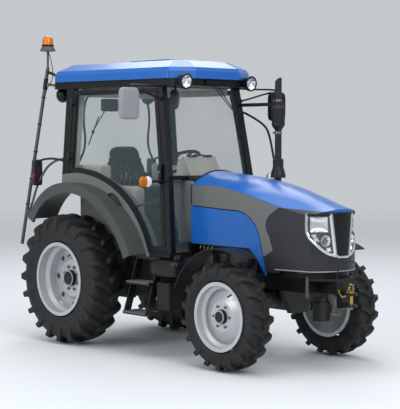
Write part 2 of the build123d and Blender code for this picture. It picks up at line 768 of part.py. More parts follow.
# Wheel arches: the band between fender and door, and the wall inside the wheel
arch_top_radius = door_arc_radius - panel_gap
arch_rear_z = door_arc_z + sqrt(arch_top_radius**2 - (rear_wall_at - door_arc_at) ** 2)
floor_wing_rear = arc_at(floor_low, arch_top_radius)
with BuildPart() as wheel_arches:
    with BuildSketch(right_side):
        with BuildLine():
            start = on_side(arc_at(floor_low, arch_top_radius), floor_low)
            middle = on_side(650, door_arc_z + sqrt(arch_top_radius**2 - (650 - door_arc_at) ** 2))
            finish = on_side(rear_wall_at, arch_rear_z)
            ThreePointArc(start, middle, finish)
            Polyline(finish, on_side(rear_wall_at, floor_low), start)
        make_face()
    extrude(amount=-260)
    with BuildSketch(right_plane(fender_inner_y - arch_wall)):
        Rectangle(8000, 8000)
    extrude(amount=-400, mode=Mode.SUBTRACT)
    with BuildSketch(right_plane(fender_inner_y)):
        with BuildLine():
            front_run = ThreePointArc(*spots([(fender_foot_at, fender_foot_z), (fender_mid_at, fender_mid_z),
                                              (door_arc_at, fender_arc_top)]))
            TangentArc(*spots([(door_arc_at, fender_arc_top), (fender_tail_at, fender_tail_z)]),
                       tangent=front_run % 1)
            Polyline(*spots([(fender_tail_at, fender_tail_z), (fender_tail_at, 0), (fender_foot_at, 0),
                             (fender_foot_at, fender_foot_z)]))
        make_face()
    extrude(amount=400, mode=Mode.SUBTRACT)
    split(bisect_by=Plane.YZ.offset(x_at(rear_wall_at)), keep=Keep.TOP)
    split(bisect_by=Plane.XY.offset(floor_low), keep=Keep.TOP)
    mirror(about=Plane.XZ)

# Cab floor with the raised seat deck, and wings that carry the door sills and front pillars
with BuildPart() as cab_floor:
    with BuildSketch(Plane.XZ):
        Polygon(*spots([
            (floor_front, floor_low), (floor_front, floor_top), (seat_deck_front + floor_wall, floor_top),
            (seat_deck_front + floor_wall, seat_deck_top), (rear_wall_at, seat_deck_top),
            (rear_wall_at, seat_deck_top - floor_wall), (seat_deck_front, seat_deck_top - floor_wall),
            (seat_deck_front, floor_low),
        ]))
    extrude(amount=fender_inner_y - arch_wall, both=True)
    with BuildSketch(Plane.XY.offset(floor_low)):
        Polygon(*[(x_at(at), y) for at, y in [
            (floor_wing_rear, floor_wing_half), (floor_front, floor_wing_half),
            (floor_front, -floor_wing_half), (floor_wing_rear, -floor_wing_half),
        ]])
    extrude(amount=floor_wall)

# Front pillars, bent at the waist
with BuildPart() as front_pillars:
    with BuildSketch(right_side):
        heights = (floor_top - pillar_wall, waist_z, roof_low + pillar_wall)
        Polygon(*[on_side(pillar_at(z) + pillar_width / 2, z) for z in heights],
                *[on_side(pillar_at(z) - pillar_width / 2, z) for z in reversed(heights)])
    extrude(amount=-pillar_wall)
    split(bisect_by=Plane.XY.offset(floor_top), keep=Keep.TOP)
    split(bisect_by=Plane.XY.offset(roof_low), keep=Keep.BOTTOM)
    mirror(about=Plane.XZ)

# Rear pillars, standing on the wheel arches, with the door hinges' pins
hinge_heights = (1640.0, 2120.0)


def hinge_plane(z):
    """Plane square to the right door's hinge line, with its origin on that line."""
    across = on_side(door_rear_at, hinge_heights[0])[0]
    along = on_side(door_rear_at, z)[1]
    return Plane(
        origin=right_side.from_local_coords((across, along, hinge_out)),
        x_dir=right_side.x_dir,
        z_dir=right_side.y_dir,
    )


with BuildPart() as rear_pillars:
    with BuildSketch(right_side):
        front_edge = door_rear_at - panel_gap
        foot_z = fender_arc_top + 30
        Polygon(on_side(front_edge, foot_z), on_side(front_edge, roof_low + pillar_wall),
                on_side(rear_wall_at, roof_low + pillar_wall), on_side(rear_wall_at, foot_z))
    extrude(amount=-pillar_wall)
    split(bisect_by=Plane.XY.offset(roof_low), keep=Keep.BOTTOM)
    split(bisect_by=Plane.YZ.offset(x_at(rear_wall_at)), keep=Keep.TOP)
    add(wheel_arches.part, mode=Mode.SUBTRACT)
    for z in hinge_heights:
        with BuildSketch(hinge_plane(z)):
            Circle(hinge_pin_radius)
        extrude(amount=hinge_length + 4)
        with BuildSketch(hinge_plane(z)):
            Circle(hinge_barrel_radius - 4)
            with Locations((-rear_pillar_width / 4, hinge_out / 2 - 5)):
                Rectangle(rear_pillar_width / 2, hinge_out + 10)
        extrude(amount=-12)
    mirror(about=Plane.XZ)

# Right door: frame with its hinge barrels and handle, and the pane
door_top = roof_low - 2 * body_gap
door_front = pillar_width / 2 + panel_gap
with BuildPart() as door_frame_right:
    with BuildSketch(right_side) as door_outline:
        with BuildLine():
            toe = on_side(arc_at(door_low, door_arc_radius), door_low)
            bend = on_side(650, door_arc_z + sqrt(door_arc_radius**2 - (650 - door_arc_at) ** 2))
            heel_z = door_arc_z + sqrt(door_arc_radius**2 - (door_rear_at - door_arc_at) ** 2)
            heel = on_side(door_rear_at, heel_z)
            ThreePointArc(toe, bend, heel)
            Polyline(heel, on_side(door_rear_at, door_top),
                     on_side(pillar_at(door_top) - door_front, door_top),
                     on_side(pillar_at(waist_z) - door_front, waist_z),
                     on_side(pillar_at(door_low) - door_front, door_low), toe)
        make_face()
    extrude(amount=-door_wall)
    with BuildSketch(right_side) as door_light:
        add(door_outline.sketch_local)
        offset(amount=-door_rail, kind=Kind.INTERSECTION, mode=Mode.REPLACE)
    extrude(amount=-door_wall, mode=Mode.SUBTRACT)
    for z in hinge_heights:
        with BuildSketch(hinge_plane(z).offset(2)):
            Circle(hinge_barrel_radius)
            with Locations((22, hinge_out / 2)):
                Rectangle(44, hinge_out)
            Circle(hinge_pin_radius + pin_gap, mode=Mode.SUBTRACT)
        extrude(amount=hinge_length)
    with BuildSketch(right_side):
        with Locations(on_side(pillar_at(waist_z) - door_front - door_rail / 2, waist_z + 30)):
            RectangleRounded(door_rail - 8, 170, 12)
    extrude(amount=26)

with BuildPart() as door_glass_right:
    with BuildSketch(right_side.offset(-(door_wall - glass_wall) / 2)):
        add(door_light.sketch_local)
    extrude(amount=-glass_wall)


def side_half(at, z):
    """Half width of the cab over its side planes."""
    return cab_half_width - side_taper * (at - cab_width_at) - side_lean * (z - cab_width_z)


# Roof liner and the roof shell over it
roof_seat = roof_low + liner_wall
with BuildPart() as roof_liner:
    with BuildSketch(Plane.XY.offset(roof_low)):
        Polygon(*[(x_at(at), side * (side_half(at, roof_low) + liner_overhang)) for at, side in [
            (liner_rear, 1), (liner_rear, -1), (liner_front, -1), (liner_front, 1),
        ]])
    extrude(amount=liner_wall)
    fillet(roof_liner.edges().filter_by(Axis.Z), liner_corner)

with BuildPart() as cab_roof:
    with BuildSketch(Plane.XY.offset(roof_seat)):
        front_half = side_half(roof_front, roof_low) + roof_overhang
        rear_half = side_half(roof_rear, roof_low) + roof_overhang
        rim = [
            (roof_front, front_half - 2 * roof_corner), (roof_front - roof_corner, front_half),
            (roof_rear + roof_corner, rear_half - 0.2 * roof_corner), (roof_rear, rear_half - roof_corner),
        ]
        Polygon(*[(x_at(at), y) for at, y in rim], *[(x_at(at), -y) for at, y in reversed(rim)])
    extrude(amount=roof_edge)
    extrude(cab_roof.faces().sort_by(Axis.Z)[-1], amount=roof_shoulder, taper=shoulder_slope)
    crown_rise = roof_top - roof_seat - roof_edge - roof_shoulder
    extrude(cab_roof.faces().sort_by(Axis.Z)[-1], amount=crown_rise, taper=roof_slope)
    fillet(cab_roof.edges().filter_by(Axis.Z), roof_soft)
    fillet(cab_roof.faces().sort_by(Axis.Z)[-1].edges(), roof_soft)
    with BuildSketch(Plane.XY.offset(roof_top)):
        with Locations((x_at((roof_front + roof_rear) / 2 + hatch_ahead), 0)):
            RectangleRounded(hatch_length, hatch_width, roof_soft)
    extrude(amount=hatch_rise)


def pane_plane(low_z, high_z):
    """Plane of a front pane, through the front pillars' middle line, facing forward."""
    rise = high_z - low_z
    run = pillar_at(high_z) - pillar_at(low_z)
    return Plane(origin=(x_at(pillar_at(low_z)), 0, low_z), x_dir=(0, 1, 0), z_dir=(rise, 0, -run))


# Windscreen and the panes beside the bulkhead, let in between the front pillars
with BuildPart() as windscreen:
    with BuildSketch(pane_plane(waist_z, roof_low)):
        foot = side_half(pillar_at(waist_z), waist_z) - pillar_wall / 2
        head = side_half(pillar_at(roof_low), roof_low) - pillar_wall / 2
        run = hypot(roof_low - waist_z, front_pillar_waist_at - front_pillar_top_at)
        Polygon((-foot, 0), (foot, 0), (head, run + pillar_wall), (-head, run + pillar_wall))
    extrude(amount=glass_wall / 2, both=True)
    split(bisect_by=Plane.XY.offset(shelf_top), keep=Keep.TOP)
    split(bisect_by=Plane.XY.offset(roof_low), keep=Keep.BOTTOM)
    add(front_pillars.part, mode=Mode.SUBTRACT)

with BuildPart() as lower_panes:
    with BuildSketch(pane_plane(floor_top, waist_z)):
        foot = side_half(pillar_at(floor_top), floor_top) - pillar_wall / 2
        head = side_half(pillar_at(waist_z), waist_z) - pillar_wall / 2
        run = hypot(waist_z - floor_top, front_pillar_waist_at - front_pillar_foot_at)
        Polygon((bulkhead_half, -pillar_wall), (foot, -pillar_wall), (head, run), (bulkhead_half, run))
    extrude(amount=glass_wall / 2, both=True)
    split(bisect_by=Plane.XY.offset(floor_top), keep=Keep.TOP)
    split(bisect_by=Plane.XY.offset(shelf_top - shelf_wall), keep=Keep.BOTTOM)
    add(front_pillars.part, mode=Mode.SUBTRACT)
    mirror(about=Plane.XZ)

# Rear wall between the arches and the rear window over it
wall_half = fender_inner_y - arch_wall
sill_z = arch_rear_z
with BuildPart() as rear_wall:
    with BuildSketch(Plane.YZ.offset(x_at(rear_wall_at))):
        wing = side_half(rear_wall_at, sill_z) - pillar_wall / 2
        outline = [(wall_half, seat_deck_top - floor_wall), (wall_half, fender_arc_top + body_gap),
                   (wing, fender_arc_top + body_gap), (wing, sill_z)]
        Polygon(*outline, *[(-y, z) for y, z in reversed(outline)])
    extrude(amount=-rear_wall_thickness)

with BuildPart() as rear_window:
    with BuildSketch(Plane.YZ.offset(x_at(rear_wall_at))):
        foot = side_half(rear_wall_at, sill_z) - 0.75 * pillar_wall
        head = side_half(rear_wall_at, roof_low) - 0.75 * pillar_wall
        Polygon((-foot, sill_z), (foot, sill_z), (head, roof_low), (-head, roof_low))
    extrude(amount=-glass_wall)

# Bulkhead behind the engine, with the shelf under the windscreen and the hood's hinge pin
with BuildPart() as bulkhead:
    with BuildSketch(Plane.XZ):
        Polygon(*spots([
            (floor_front, floor_top), (floor_front, shelf_top - shelf_wall),
            (pillar_at(waist_z) + 45, shelf_top), (pillar_at(waist_z) - 30, shelf_top),
            (pillar_at(floor_top) - 30, floor_top),
        ]))
    extrude(amount=bulkhead_half, both=True)
    with BuildSketch(Plane.XY.offset(shelf_top - shelf_wall)):
        shelf_half = side_half(pillar_at(waist_z), waist_z) - pillar_wall / 2
        shelf = [(-120, shelf_half - pillar_width), (-door_front + body_gap, shelf_half - pillar_width),
                 (-door_front + body_gap, shelf_half), (40, shelf_half)]
        Polygon(*[(x_at(pillar_at(waist_z) + at), y) for at, y in shelf],
                *[(x_at(pillar_at(waist_z) + at), -y) for at, y in reversed(shelf)])
    extrude(amount=shelf_wall)
    for side in (1, -1):
        with BuildSketch(Plane.XZ.offset(side * hood_lug_y)):
            Polygon(*spots([
                (floor_front - 10, shelf_top - shelf_wall - 60), (floor_front, shelf_top - shelf_wall - 60),
                (hood_hinge_at + 12, hood_hinge_z - 14), (hood_hinge_at + 12, hood_hinge_z + 14),
                (hood_hinge_at - 12, hood_hinge_z + 14), (floor_front - 10, shelf_top - shelf_wall),
            ]))
        extrude(amount=hood_lug_wall, both=True)
    with BuildSketch(Plane.XZ):
        with Locations((x_at(hood_hinge_at), hood_hinge_z)):
            Circle(hood_pin_radius)
    extrude(amount=hood_lug_y, both=True)
    add(front_pillars.part, mode=Mode.SUBTRACT)

# Dash: the console and cowl behind the steering wheel
with BuildPart() as dash:
    with BuildSketch(Plane.XZ):
        Polygon(*spots([
            (console_rear + 90, floor_top + 200), (console_rear, shelf_top - 90),
            (console_rear + 20, cowl_top - 45), (console_rear + 95, cowl_top),
            (pillar_at(waist_z) - 40, shelf_top), (pillar_at(waist_z), floor_top + 200),
        ]))
    extrude(amount=console_half, both=True)
    add(bulkhead.part, mode=Mode.SUBTRACT)

# Steering wheel on its column
wheel_plane = Plane(origin=(x_at(wheel_hub_at), 0, wheel_hub_z), x_dir=(0, 1, 0), z_dir=(-0.5, 0, 0.866))
with BuildPart() as steering_wheel:
    with Locations(wheel_plane.location):
        Torus(wheel_ring_radius, wheel_grip_radius)
    with BuildSketch(wheel_plane):
        with PolarLocations(0, 3, start_angle=-90):
            with Locations((wheel_ring_radius / 2, 0)):
                Rectangle(wheel_ring_radius, 1.6 * wheel_grip_radius)
        Circle(3 * wheel_grip_radius)
    extrude(amount=-wheel_grip_radius)
    with BuildSketch(wheel_plane):
        Circle(2 * wheel_grip_radius)
    extrude(amount=-column_length)
    add(dash.part, mode=Mode.SUBTRACT)

# Seat: bellows base on the deck, cushion and back
with BuildPart() as seat_base:
    for low, high, half in [
        (seat_deck_top, seat_deck_top + 60, 190),
        (seat_deck_top + 60, seat_low - 40, 165),
        (seat_low - 40, seat_low, 200),
    ]:
        with BuildSketch(Plane.XY.offset(low)):
            with Locations((x_at((seat_rear + seat_front) / 2), 0)):
                RectangleRounded(2 * half - 60, 2 * half, 30)
        extrude(amount=high - low)

with BuildPart() as seat_cushion:
    with BuildSketch(Plane.XY.offset(seat_low)):
        with Locations((x_at((seat_rear + seat_front) / 2), 0)):
            RectangleRounded(seat_front - seat_rear, 2 * seat_half, 70)
    extrude(amount=seat_top - seat_low)
    fillet(seat_cushion.faces().sort_by(Axis.Z)[-1].edges(), 40)

with BuildPart() as seat_back:
    with BuildSketch(Plane.XZ):
        Polygon(*spots([
            (seat_rear - 25, seat_top - 70), (seat_rear - pin_gap, seat_top - 70),
            (seat_rear - pin_gap, seat_top + pin_gap), (seat_rear + 70, seat_top + pin_gap),
            (seat_rear, back_top), (seat_rear - 70, back_top),
        ]))
    extrude(amount=seat_half - 20, both=True)
    fillet(seat_back.edges().filter_by(Axis.Y).sort_by(Axis.Z)[-2:], 30)

# Hood: one crowned shell, parted into top, side bands, nose, headlamps and the fixed lower panels
def hood_block(inset, lead):
    """The hood's outer solid, or its inner one when inset by the wall and led out past the open ends."""
    bow = nose_bow_radius - inset
    edge = bow - 10
    bow_centre = nose_tip - nose_bow_radius
    with BuildPart() as block:
        for number, station in enumerate(hood_stations):
            half = hood_halves[number] - inset
            shoulder = hood_shoulders[number] - inset
            crown = hood_crowns[number] - inset
            at = station - lead if number == 0 else station
            with BuildSketch(Plane.YZ.offset(x_at(at))):
                with BuildLine():
                    Polyline((half, shoulder), (half, hood_base - lead),
                             (-half, hood_base - lead), (-half, shoulder))
                    ThreePointArc((-half, shoulder), (0, crown), (half, shoulder))
                make_face()
        loft()
        with BuildSketch(Plane.XY.offset(hood_base - lead)):
            with BuildLine():
                corner = x_at(bow_centre + sqrt(bow**2 - edge**2))
                back = x_at(hood_stations[0] - lead)
                ThreePointArc((corner, -edge), (x_at(bow_centre + bow), 0), (corner, edge))
                Polyline((corner, edge), (back, edge), (back, -edge), (corner, -edge))
            make_face()
        extrude(amount=2 * (hood_crowns[0] - hood_base), mode=Mode.INTERSECT)
    return block


hood_outer = hood_block(0, 0)
hood_inner = hood_block(hood_wall, 2 * hood_wall)
with BuildPart() as hood_shell:
    add(hood_outer.part)
    add(hood_inner.part, mode=Mode.SUBTRACT)

# Lines that part the hood, seen from the side
hood_back = hood_stations[0] - hood_wall
brow = (2262.0, 1281.0)
leg_low = 765.0
with BuildLine() as shoulder_line:
    Spline(*spots([
        (hood_back, hood_shoulders[0] - shoulder_lip), (hood_stations[1], hood_shoulders[1] - shoulder_lip),
        (hood_stations[2], hood_shoulders[2] - shoulder_lip), brow,
    ]))
with BuildLine() as band_line:
    Line(*spots([(hood_back, 1265), (1760, 1243)]))
    ThreePointArc(*spots([(1760, 1243), (1985, 1172), (2075, 1020)]))
    Line(*spots([(2075, 1020), (2140, leg_low)]))
with BuildLine() as nose_line:
    Line(*spots([(2262, leg_low), (2160, 1060)]))
    ThreePointArc(*spots([(2160, 1060), (2133, 1165), (2175, 1225)]))
    Line(*spots([(2175, 1225), brow]))
hood_span = 2 * hood_halves[2]
nose_past = nose_tip + 60
brow_front_z = 1248.0

with BuildPart() as hood:
    with BuildSketch(Plane.XZ):
        with BuildLine():
            add(shoulder_line.line)
            Polyline(*spots([brow, (nose_past, brow_front_z), (nose_past, 1700), (hood_back, 1700),
                             (hood_back, hood_shoulders[0] - shoulder_lip)]))
        make_face()
    extrude(amount=hood_span, both=True)
    add(hood_shell.part, mode=Mode.INTERSECT)
    for side in (1, -1):
        with BuildSketch(Plane.XZ.offset(side * hood_eye_y)):
            with Locations((x_at(hood_hinge_at), hood_hinge_z)):
                Circle(2 * hood_pin_radius)
            Polygon(*spots([
                (hood_hinge_at - 15, hood_hinge_z), (hood_hinge_at + 20, hood_hinge_z),
                (hood_hinge_at + 30, hood_crowns[0] - hood_wall),
                (hood_hinge_at - 10, hood_crowns[0] - hood_wall),
            ]))
            with Locations((x_at(hood_hinge_at), hood_hinge_z)):
                Circle(hood_pin_radius + pin_gap, mode=Mode.SUBTRACT)
        extrude(amount=hood_lug_wall, both=True)

with BuildPart() as whole_bands:
    with BuildSketch(Plane.XZ):
        with BuildLine():
            add(shoulder_line.line)
            add(nose_line.line)
            Line(*spots([(2262, leg_low), (2140, leg_low)]))
            add(band_line.line)
            Line(*spots([(hood_back, 1265), (hood_back, hood_shoulders[0] - shoulder_lip)]))
        make_face()
    extrude(amount=hood_span, both=True)
    add(hood_shell.part, mode=Mode.INTERSECT)

# The band's leg ends at a slanted line, and its foot below that line is of one piece with the nose
with BuildPart() as leg_foot:
    with BuildSketch(Plane.XZ):
        Polygon(*spots([(2000, 826), (2322, 1009), (2322, leg_low - 20), (2000, leg_low - 20)]))
    extrude(amount=hood_span, both=True)
    add(whole_bands.part, mode=Mode.INTERSECT)

with BuildPart() as hood_bands:
    add(whole_bands.part)
    add(leg_foot.part, mode=Mode.SUBTRACT)

with BuildPart() as nose_region:
    with BuildSketch(Plane.XZ):
        with BuildLine():
            add(nose_line.line)
            Polyline(*spots([
                brow, (nose_past, brow_front_z), (nose_past, nose_low),
                (brow[0], nose_low), (brow[0], leg_low),
            ]))
        make_face()
    extrude(amount=hood_span, both=True)
    add(hood_shell.part, mode=Mode.INTERSECT)
    add(leg_foot.part)

# Headlamps wrap round the nose's corners
with BuildPart() as headlamps:
    with BuildSketch(Plane.YZ.offset(x_at(lamp_rear))):
        with BuildLine():
            ThreePointArc((-lamp_foot_y, lamp_foot_z), (-3 * lamp_foot_y, lamp_foot_z + 48),
                          (-lamp_side_y, lamp_side_z))
            Polyline((-lamp_side_y, lamp_side_z), (-hood_span, lamp_side_z), (-hood_span, lamp_top_z),
                     (-lamp_inner_y, lamp_top_z), (-lamp_foot_y, lamp_foot_z))
        make_face()
    extrude(amount=nose_past - lamp_rear)
    mirror(about=Plane.XZ)
    add(nose_region.part, mode=Mode.INTERSECT)

with BuildPart() as nose_panel:
    add(nose_region.part)
    add(headlamps.part, mode=Mode.SUBTRACT)

with BuildPart() as side_panels:
    with BuildSketch(Plane.XZ):
        Polygon(*spots([
            (hood_back, 945), (1955, 947), (2034, 873), (2130, 740), (2150, 740), (2150, 1300),
            (hood_back, 1300),
        ]))
        with BuildSketch(mode=Mode.PRIVATE) as lifting_part:
            with BuildLine():
                add(band_line.line)
                Polyline(*spots([(2140, leg_low), (2140, leg_low - 100), (2400, leg_low - 100), (2400, 1700),
                                 (hood_back - 50, 1700), (hood_back - 50, 1265), (hood_back, 1265)]))
            make_face()
            offset(amount=body_gap, mode=Mode.REPLACE)
        add(lifting_part.sketch, mode=Mode.SUBTRACT)
    extrude(amount=hood_span, both=True)
    add(hood_shell.part, mode=Mode.INTERSECT)

# Stays that carry the lower panels from the engine
with BuildPart() as panel_stays:
    for at in (1400.0, 1850.0):
        with BuildSketch(right_plane(engine_half)):
            with Locations((x_at(at), 1020)):
                Rectangle(36, 36)
        extrude(amount=hood_span)
    mirror(about=Plane.XZ)
    add(hood_inner.part, mode=Mode.INTERSECT)

with BuildPart() as engine:
    add(engine_block.part)
    add(panel_stays.part)

strap_z = 2096.0
strap_foot = pillar_at(strap_z + 30) + pillar_width / 2

# Exhaust stack on the left: elbow from the engine, heat shield, muffler, slant-cut outlet, pillar strap
with BuildPart() as exhaust_stack:
    with BuildSketch(Plane.XZ.offset(-engine_half)):
        with Locations((x_at(exhaust_at), exhaust_low)):
            Circle(exhaust_pipe_radius)
    extrude(amount=-(exhaust_y - engine_half))
    with BuildSketch(Plane.XZ.offset(-exhaust_y)):
        stack = [
            (0, exhaust_low - exhaust_pipe_radius), (exhaust_pipe_radius, exhaust_low - exhaust_pipe_radius),
            (exhaust_pipe_radius, 1480), (66, 1484), (64, 1510), (46, 1575), (46, 1640),
            (exhaust_pipe_radius, 1650), (exhaust_pipe_radius, 1890),
            (muffler_radius, 1925), (muffler_radius, 2080), (38, 2100), (38, 2120),
            (exhaust_pipe_radius, 2124), (exhaust_pipe_radius, exhaust_top), (0, exhaust_top),
        ]
        Polygon(*[(x_at(exhaust_at) + radius, z) for radius, z in stack])
    revolve(axis=Axis((x_at(exhaust_at), exhaust_y, 0), (0, 0, 1)))
    with BuildSketch(Plane.XZ.offset(-exhaust_y)):
        Polygon(*spots([
            (exhaust_at - 60, exhaust_top + 20), (exhaust_at + 60, exhaust_top + 20),
            (exhaust_at + 60, exhaust_top), (exhaust_at - 60, exhaust_top - 90),
        ]))
    extrude(amount=60, both=True, mode=Mode.SUBTRACT)
    with BuildSketch(Plane.XZ.offset(-exhaust_y)):
        Polygon(*spots([
            (strap_foot, strap_z), (exhaust_at, strap_z),
            (exhaust_at, strap_z + 30), (strap_foot, strap_z + 30),
        ]))
    extrude(amount=4, both=True)
    add(front_pillars.part, mode=Mode.SUBTRACT)

# Mirrors on bent arms from the front pillars
with BuildPart() as mirrors:
    arm_foot = (x_at(pillar_at(2170)), -side_half(pillar_at(2170), 2170) + pillar_wall / 2, 2170)
    arm_bend = (x_at(mirror_at - 10), -mirror_reach + mirror_width + 80, mirror_z + 110)
    arm_head = (x_at(mirror_at), -mirror_reach + mirror_width / 2, mirror_z + 60)
    with BuildLine() as mirror_arm:
        FilletPolyline(arm_foot, arm_bend, arm_head, radius=50)
    with BuildSketch(Plane(origin=arm_foot, z_dir=mirror_arm.line % 0)):
        Circle(arm_radius)
    sweep()
    with BuildSketch(Plane.YZ.offset(x_at(mirror_at - mirror_depth / 2))):
        with Locations((-mirror_reach + mirror_width / 2, mirror_z)):
            RectangleRounded(mirror_width, mirror_height, 40)
    extrude(amount=mirror_depth)
    fillet(mirrors.faces().filter_by(Axis.X).sort_by(Axis.X)[-1].edges(), 22)
    add(front_pillars.part, mode=Mode.SUBTRACT)
    mirror(about=Plane.XZ)

# Work lamps under the roof's front and rear edges
with BuildPart() as work_lamps:
    lamp_z = roof_seat - work_lamp_radius - 4
    with BuildSketch(Plane.YZ.offset(x_at(liner_front))):
        with Locations((front_lamp_y, lamp_z), (-front_lamp_y, lamp_z)):
            Circle(work_lamp_radius)
    extrude(amount=work_lamp_depth)
    with BuildSketch(Plane.YZ.offset(x_at(liner_rear))):
        with Locations((rear_lamp_y, lamp_z), (-rear_lamp_y, lamp_z)):
            Circle(work_lamp_radius)
    extrude(amount=-work_lamp_depth)

# Front indicators on arms from the front pillars, and tail lamps on arms from the rear pillars
with BuildPart() as signal_lamps:
    indicator_at = pillar_at(waist_z) + 12
    with BuildSketch(right_plane(side_half(indicator_at, waist_z) - pillar_wall / 2)):
        with Locations((x_at(indicator_at), waist_z - 25)):
            Circle(arm_radius)
    extrude(amount=indicator_y - side_half(indicator_at, waist_z) + pillar_wall / 2)
    with BuildSketch(Plane.YZ.offset(x_at(indicator_at - 22))):
        with Locations((-indicator_y, waist_z - 25)):
            RectangleRounded(120, 62, 30)
    extrude(amount=50)
    add(front_pillars.part, mode=Mode.SUBTRACT)
    tail_foot = (x_at(rear_wall_at + 30), -side_half(rear_wall_at, tail_arm_z) + pillar_wall / 2, tail_arm_z)
    tail_end = (x_at(tail_lamp_at), -tail_lamp_y, tail_arm_z)
    reach = hypot(tail_end[0] - tail_foot[0], tail_end[1] - tail_foot[1])
    with BuildSketch(Plane(origin=tail_foot, z_dir=Vector(*tail_end) - Vector(*tail_foot))):
        Circle(arm_radius)
    extrude(amount=reach)
    with BuildSketch(Plane.YZ.offset(x_at(tail_lamp_at - 25))):
        with Locations((-tail_lamp_y, tail_arm_z - 90)):
            RectangleRounded(96, 240, 20)
    extrude(amount=50)
    add(rear_pillars.part, mode=Mode.SUBTRACT)
    mirror(about=Plane.XZ)

# Beacon pole behind the right fender, stayed to the roof liner and to the fender's tail
foot_point = Vector(x_at(pole_foot[0]), pole_foot[1], pole_foot[2])
head_point = Vector(x_at(pole_head[0]), pole_head[1], pole_head[2])
pole_run = head_point - foot_point


def pole_point(z):
    """Point of the pole's middle line at a height."""
    return foot_point + pole_run * ((z - foot_point.Z) / pole_run.Z)


with BuildPart() as beacon_pole:
    with BuildSketch(Plane(origin=foot_point, z_dir=pole_run)):
        Circle(pole_radius)
    extrude(amount=pole_run.length)
    stay_y = side_half(liner_rear, roof_low) - 70
    roof_stay = Vector(x_at(liner_rear + 20), -stay_y, roof_low + liner_wall / 2)
    for start, end in [(pole_point(2315), roof_stay),
                       (pole_point(1150), Vector(x_at(fender_tail_at + 14), pole_point(1150).Y, 1150))]:
        with BuildSketch(Plane(origin=start, z_dir=end - start)):
            Circle(0.75 * pole_radius)
        extrude(amount=(end - start).length)
    with BuildSketch(Plane.XZ.offset(-head_point.Y)):
        base_z = beacon_top - 95
        stand = [
            (0, head_point.Z - 10), (10, head_point.Z - 10), (10, base_z - 55), (beacon_radius, base_z - 45),
            (beacon_radius - 4, base_z - 30), (50, base_z), (0, base_z),
        ]
        Polygon(*[(head_point.X + radius, z) for radius, z in stand])
    revolve(axis=Axis(head_point, (0, 0, 1)))
    add(roof_liner.part, mode=Mode.SUBTRACT)
    add(rear_fenders.part, mode=Mode.SUBTRACT)

with BuildPart() as beacon:
    with BuildSketch(Plane.XZ.offset(-head_point.Y)):
        dome = [
            (0, base_z), (52, base_z), (50, beacon_top - 35),
            (40, beacon_top - 10), (22, beacon_top), (0, beacon_top),
        ]
        Polygon(*[(head_point.X + radius, z) for radius, z in dome])
    revolve(axis=Axis(head_point, (0, 0, 1)))

# Steps hung from the floor on both sides
with BuildPart() as steps:
    for at in (step_rear, step_front - stringer_wall):
        with BuildSketch(Plane.YZ.offset(x_at(at))):
            low = min(step_heights)
            Polygon((-step_inner_y + stringer_width - 20, floor_low), (-step_inner_y - 20, floor_low),
                    (-step_outer_y, low), (-step_outer_y + stringer_width, low))
        extrude(amount=stringer_wall)
    with BuildSketch(Plane.XY.offset(floor_low)):
        Polygon(*[(x_at(at), -y) for at, y in [
            (step_rear, step_inner_y - 60), (step_front, step_inner_y - 60), (step_front, step_inner_y + 20),
            (step_rear, step_inner_y + 20),
        ]])
    extrude(amount=-step_wall)
    for height in step_heights:
        with BuildSketch(Plane.XY.offset(height)):
            tread_y = step_outer_y - (height - low) * 0.16
            Polygon(*[(x_at(at), -y) for at, y in [
                (step_rear, step_inner_y), (step_front, step_inner_y),
                (step_front, tread_y), (step_rear, tread_y),
            ]])
        extrude(amount=step_wall)
    mirror(about=Plane.XZ)

# Fuel tank and battery box under the floor
with BuildPart() as side_tanks:
    with BuildSketch(Plane.XY.offset(tank_low)):
        Polygon(*[(x_at(at), -y) for at, y in [
            (tank_rear, tank_inner_y), (tank_front, tank_inner_y),
            (tank_front, tank_outer_y), (tank_rear, tank_outer_y),
        ]])
    extrude(amount=floor_low - tank_low)
    fillet(side_tanks.edges().filter_by(Axis.Z), 50)
    fillet(side_tanks.faces().sort_by(Axis.Z)[0].edges(), 40)
    with BuildSketch(Plane.XY.offset(tank_low - 20)):
        with Locations((x_at((step_front + tank_front) / 2 + 20), -(tank_outer_y + box_outer_y) / 2 + 20)):
            RectangleRounded(tank_front - step_front - 50, box_outer_y - tank_outer_y + 40, 20)
    extrude(amount=box_height)
    mirror(about=Plane.XZ)


def left_of(right):
    """Mirror image of a right-hand piece."""
    with BuildPart() as left:
        mirror(right.part, about=Plane.XZ)
    return left


pieces = {
    "front_frame": front_frame, "engine": engine, "gearbox": gearbox, "rear_axle": rear_axle,
    "front_axle": front_axle, "tow_pin": tow_pin, "drawbar": drawbar,
    "side_tanks": side_tanks, "steps": steps,
    "side_panels": side_panels, "exhaust_stack": exhaust_stack, "cab_floor": cab_floor,
    "front_pillars": front_pillars, "rear_pillars": rear_pillars,
    "roof_liner": roof_liner, "cab_roof": cab_roof,
    "windscreen": windscreen, "lower_panes": lower_panes, "rear_window": rear_window, "rear_wall": rear_wall,
    "bulkhead": bulkhead, "dash": dash, "steering_wheel": steering_wheel,
    "seat_base": seat_base, "seat_cushion": seat_cushion,
    "seat_back": seat_back, "rear_fenders": rear_fenders, "wheel_arches": wheel_arches, "mirrors": mirrors,
    "signal_lamps": signal_lamps, "work_lamps": work_lamps, "beacon_pole": beacon_pole, "beacon": beacon,
    "hood": hood, "hood_bands": hood_bands, "nose_panel": nose_panel, "headlamps": headlamps,
    "lower_links": lower_links, "lift_arms": lift_arms, "lift_rods": lift_rods,
}
handed = {
    "door_frame": door_frame_right, "door_glass": door_glass_right, "knuckle": knuckle_right,
    "front_guard": front_guard_right, "front_rim": front_rim_right, "front_tyre": front_tyre_right,
    "rear_rim": rear_rim_right, "rear_tyre": rear_tyre_right,
}
for name, right in handed.items():
    pieces[name + "_right"] = right
    pieces[name + "_left"] = left_of(right)

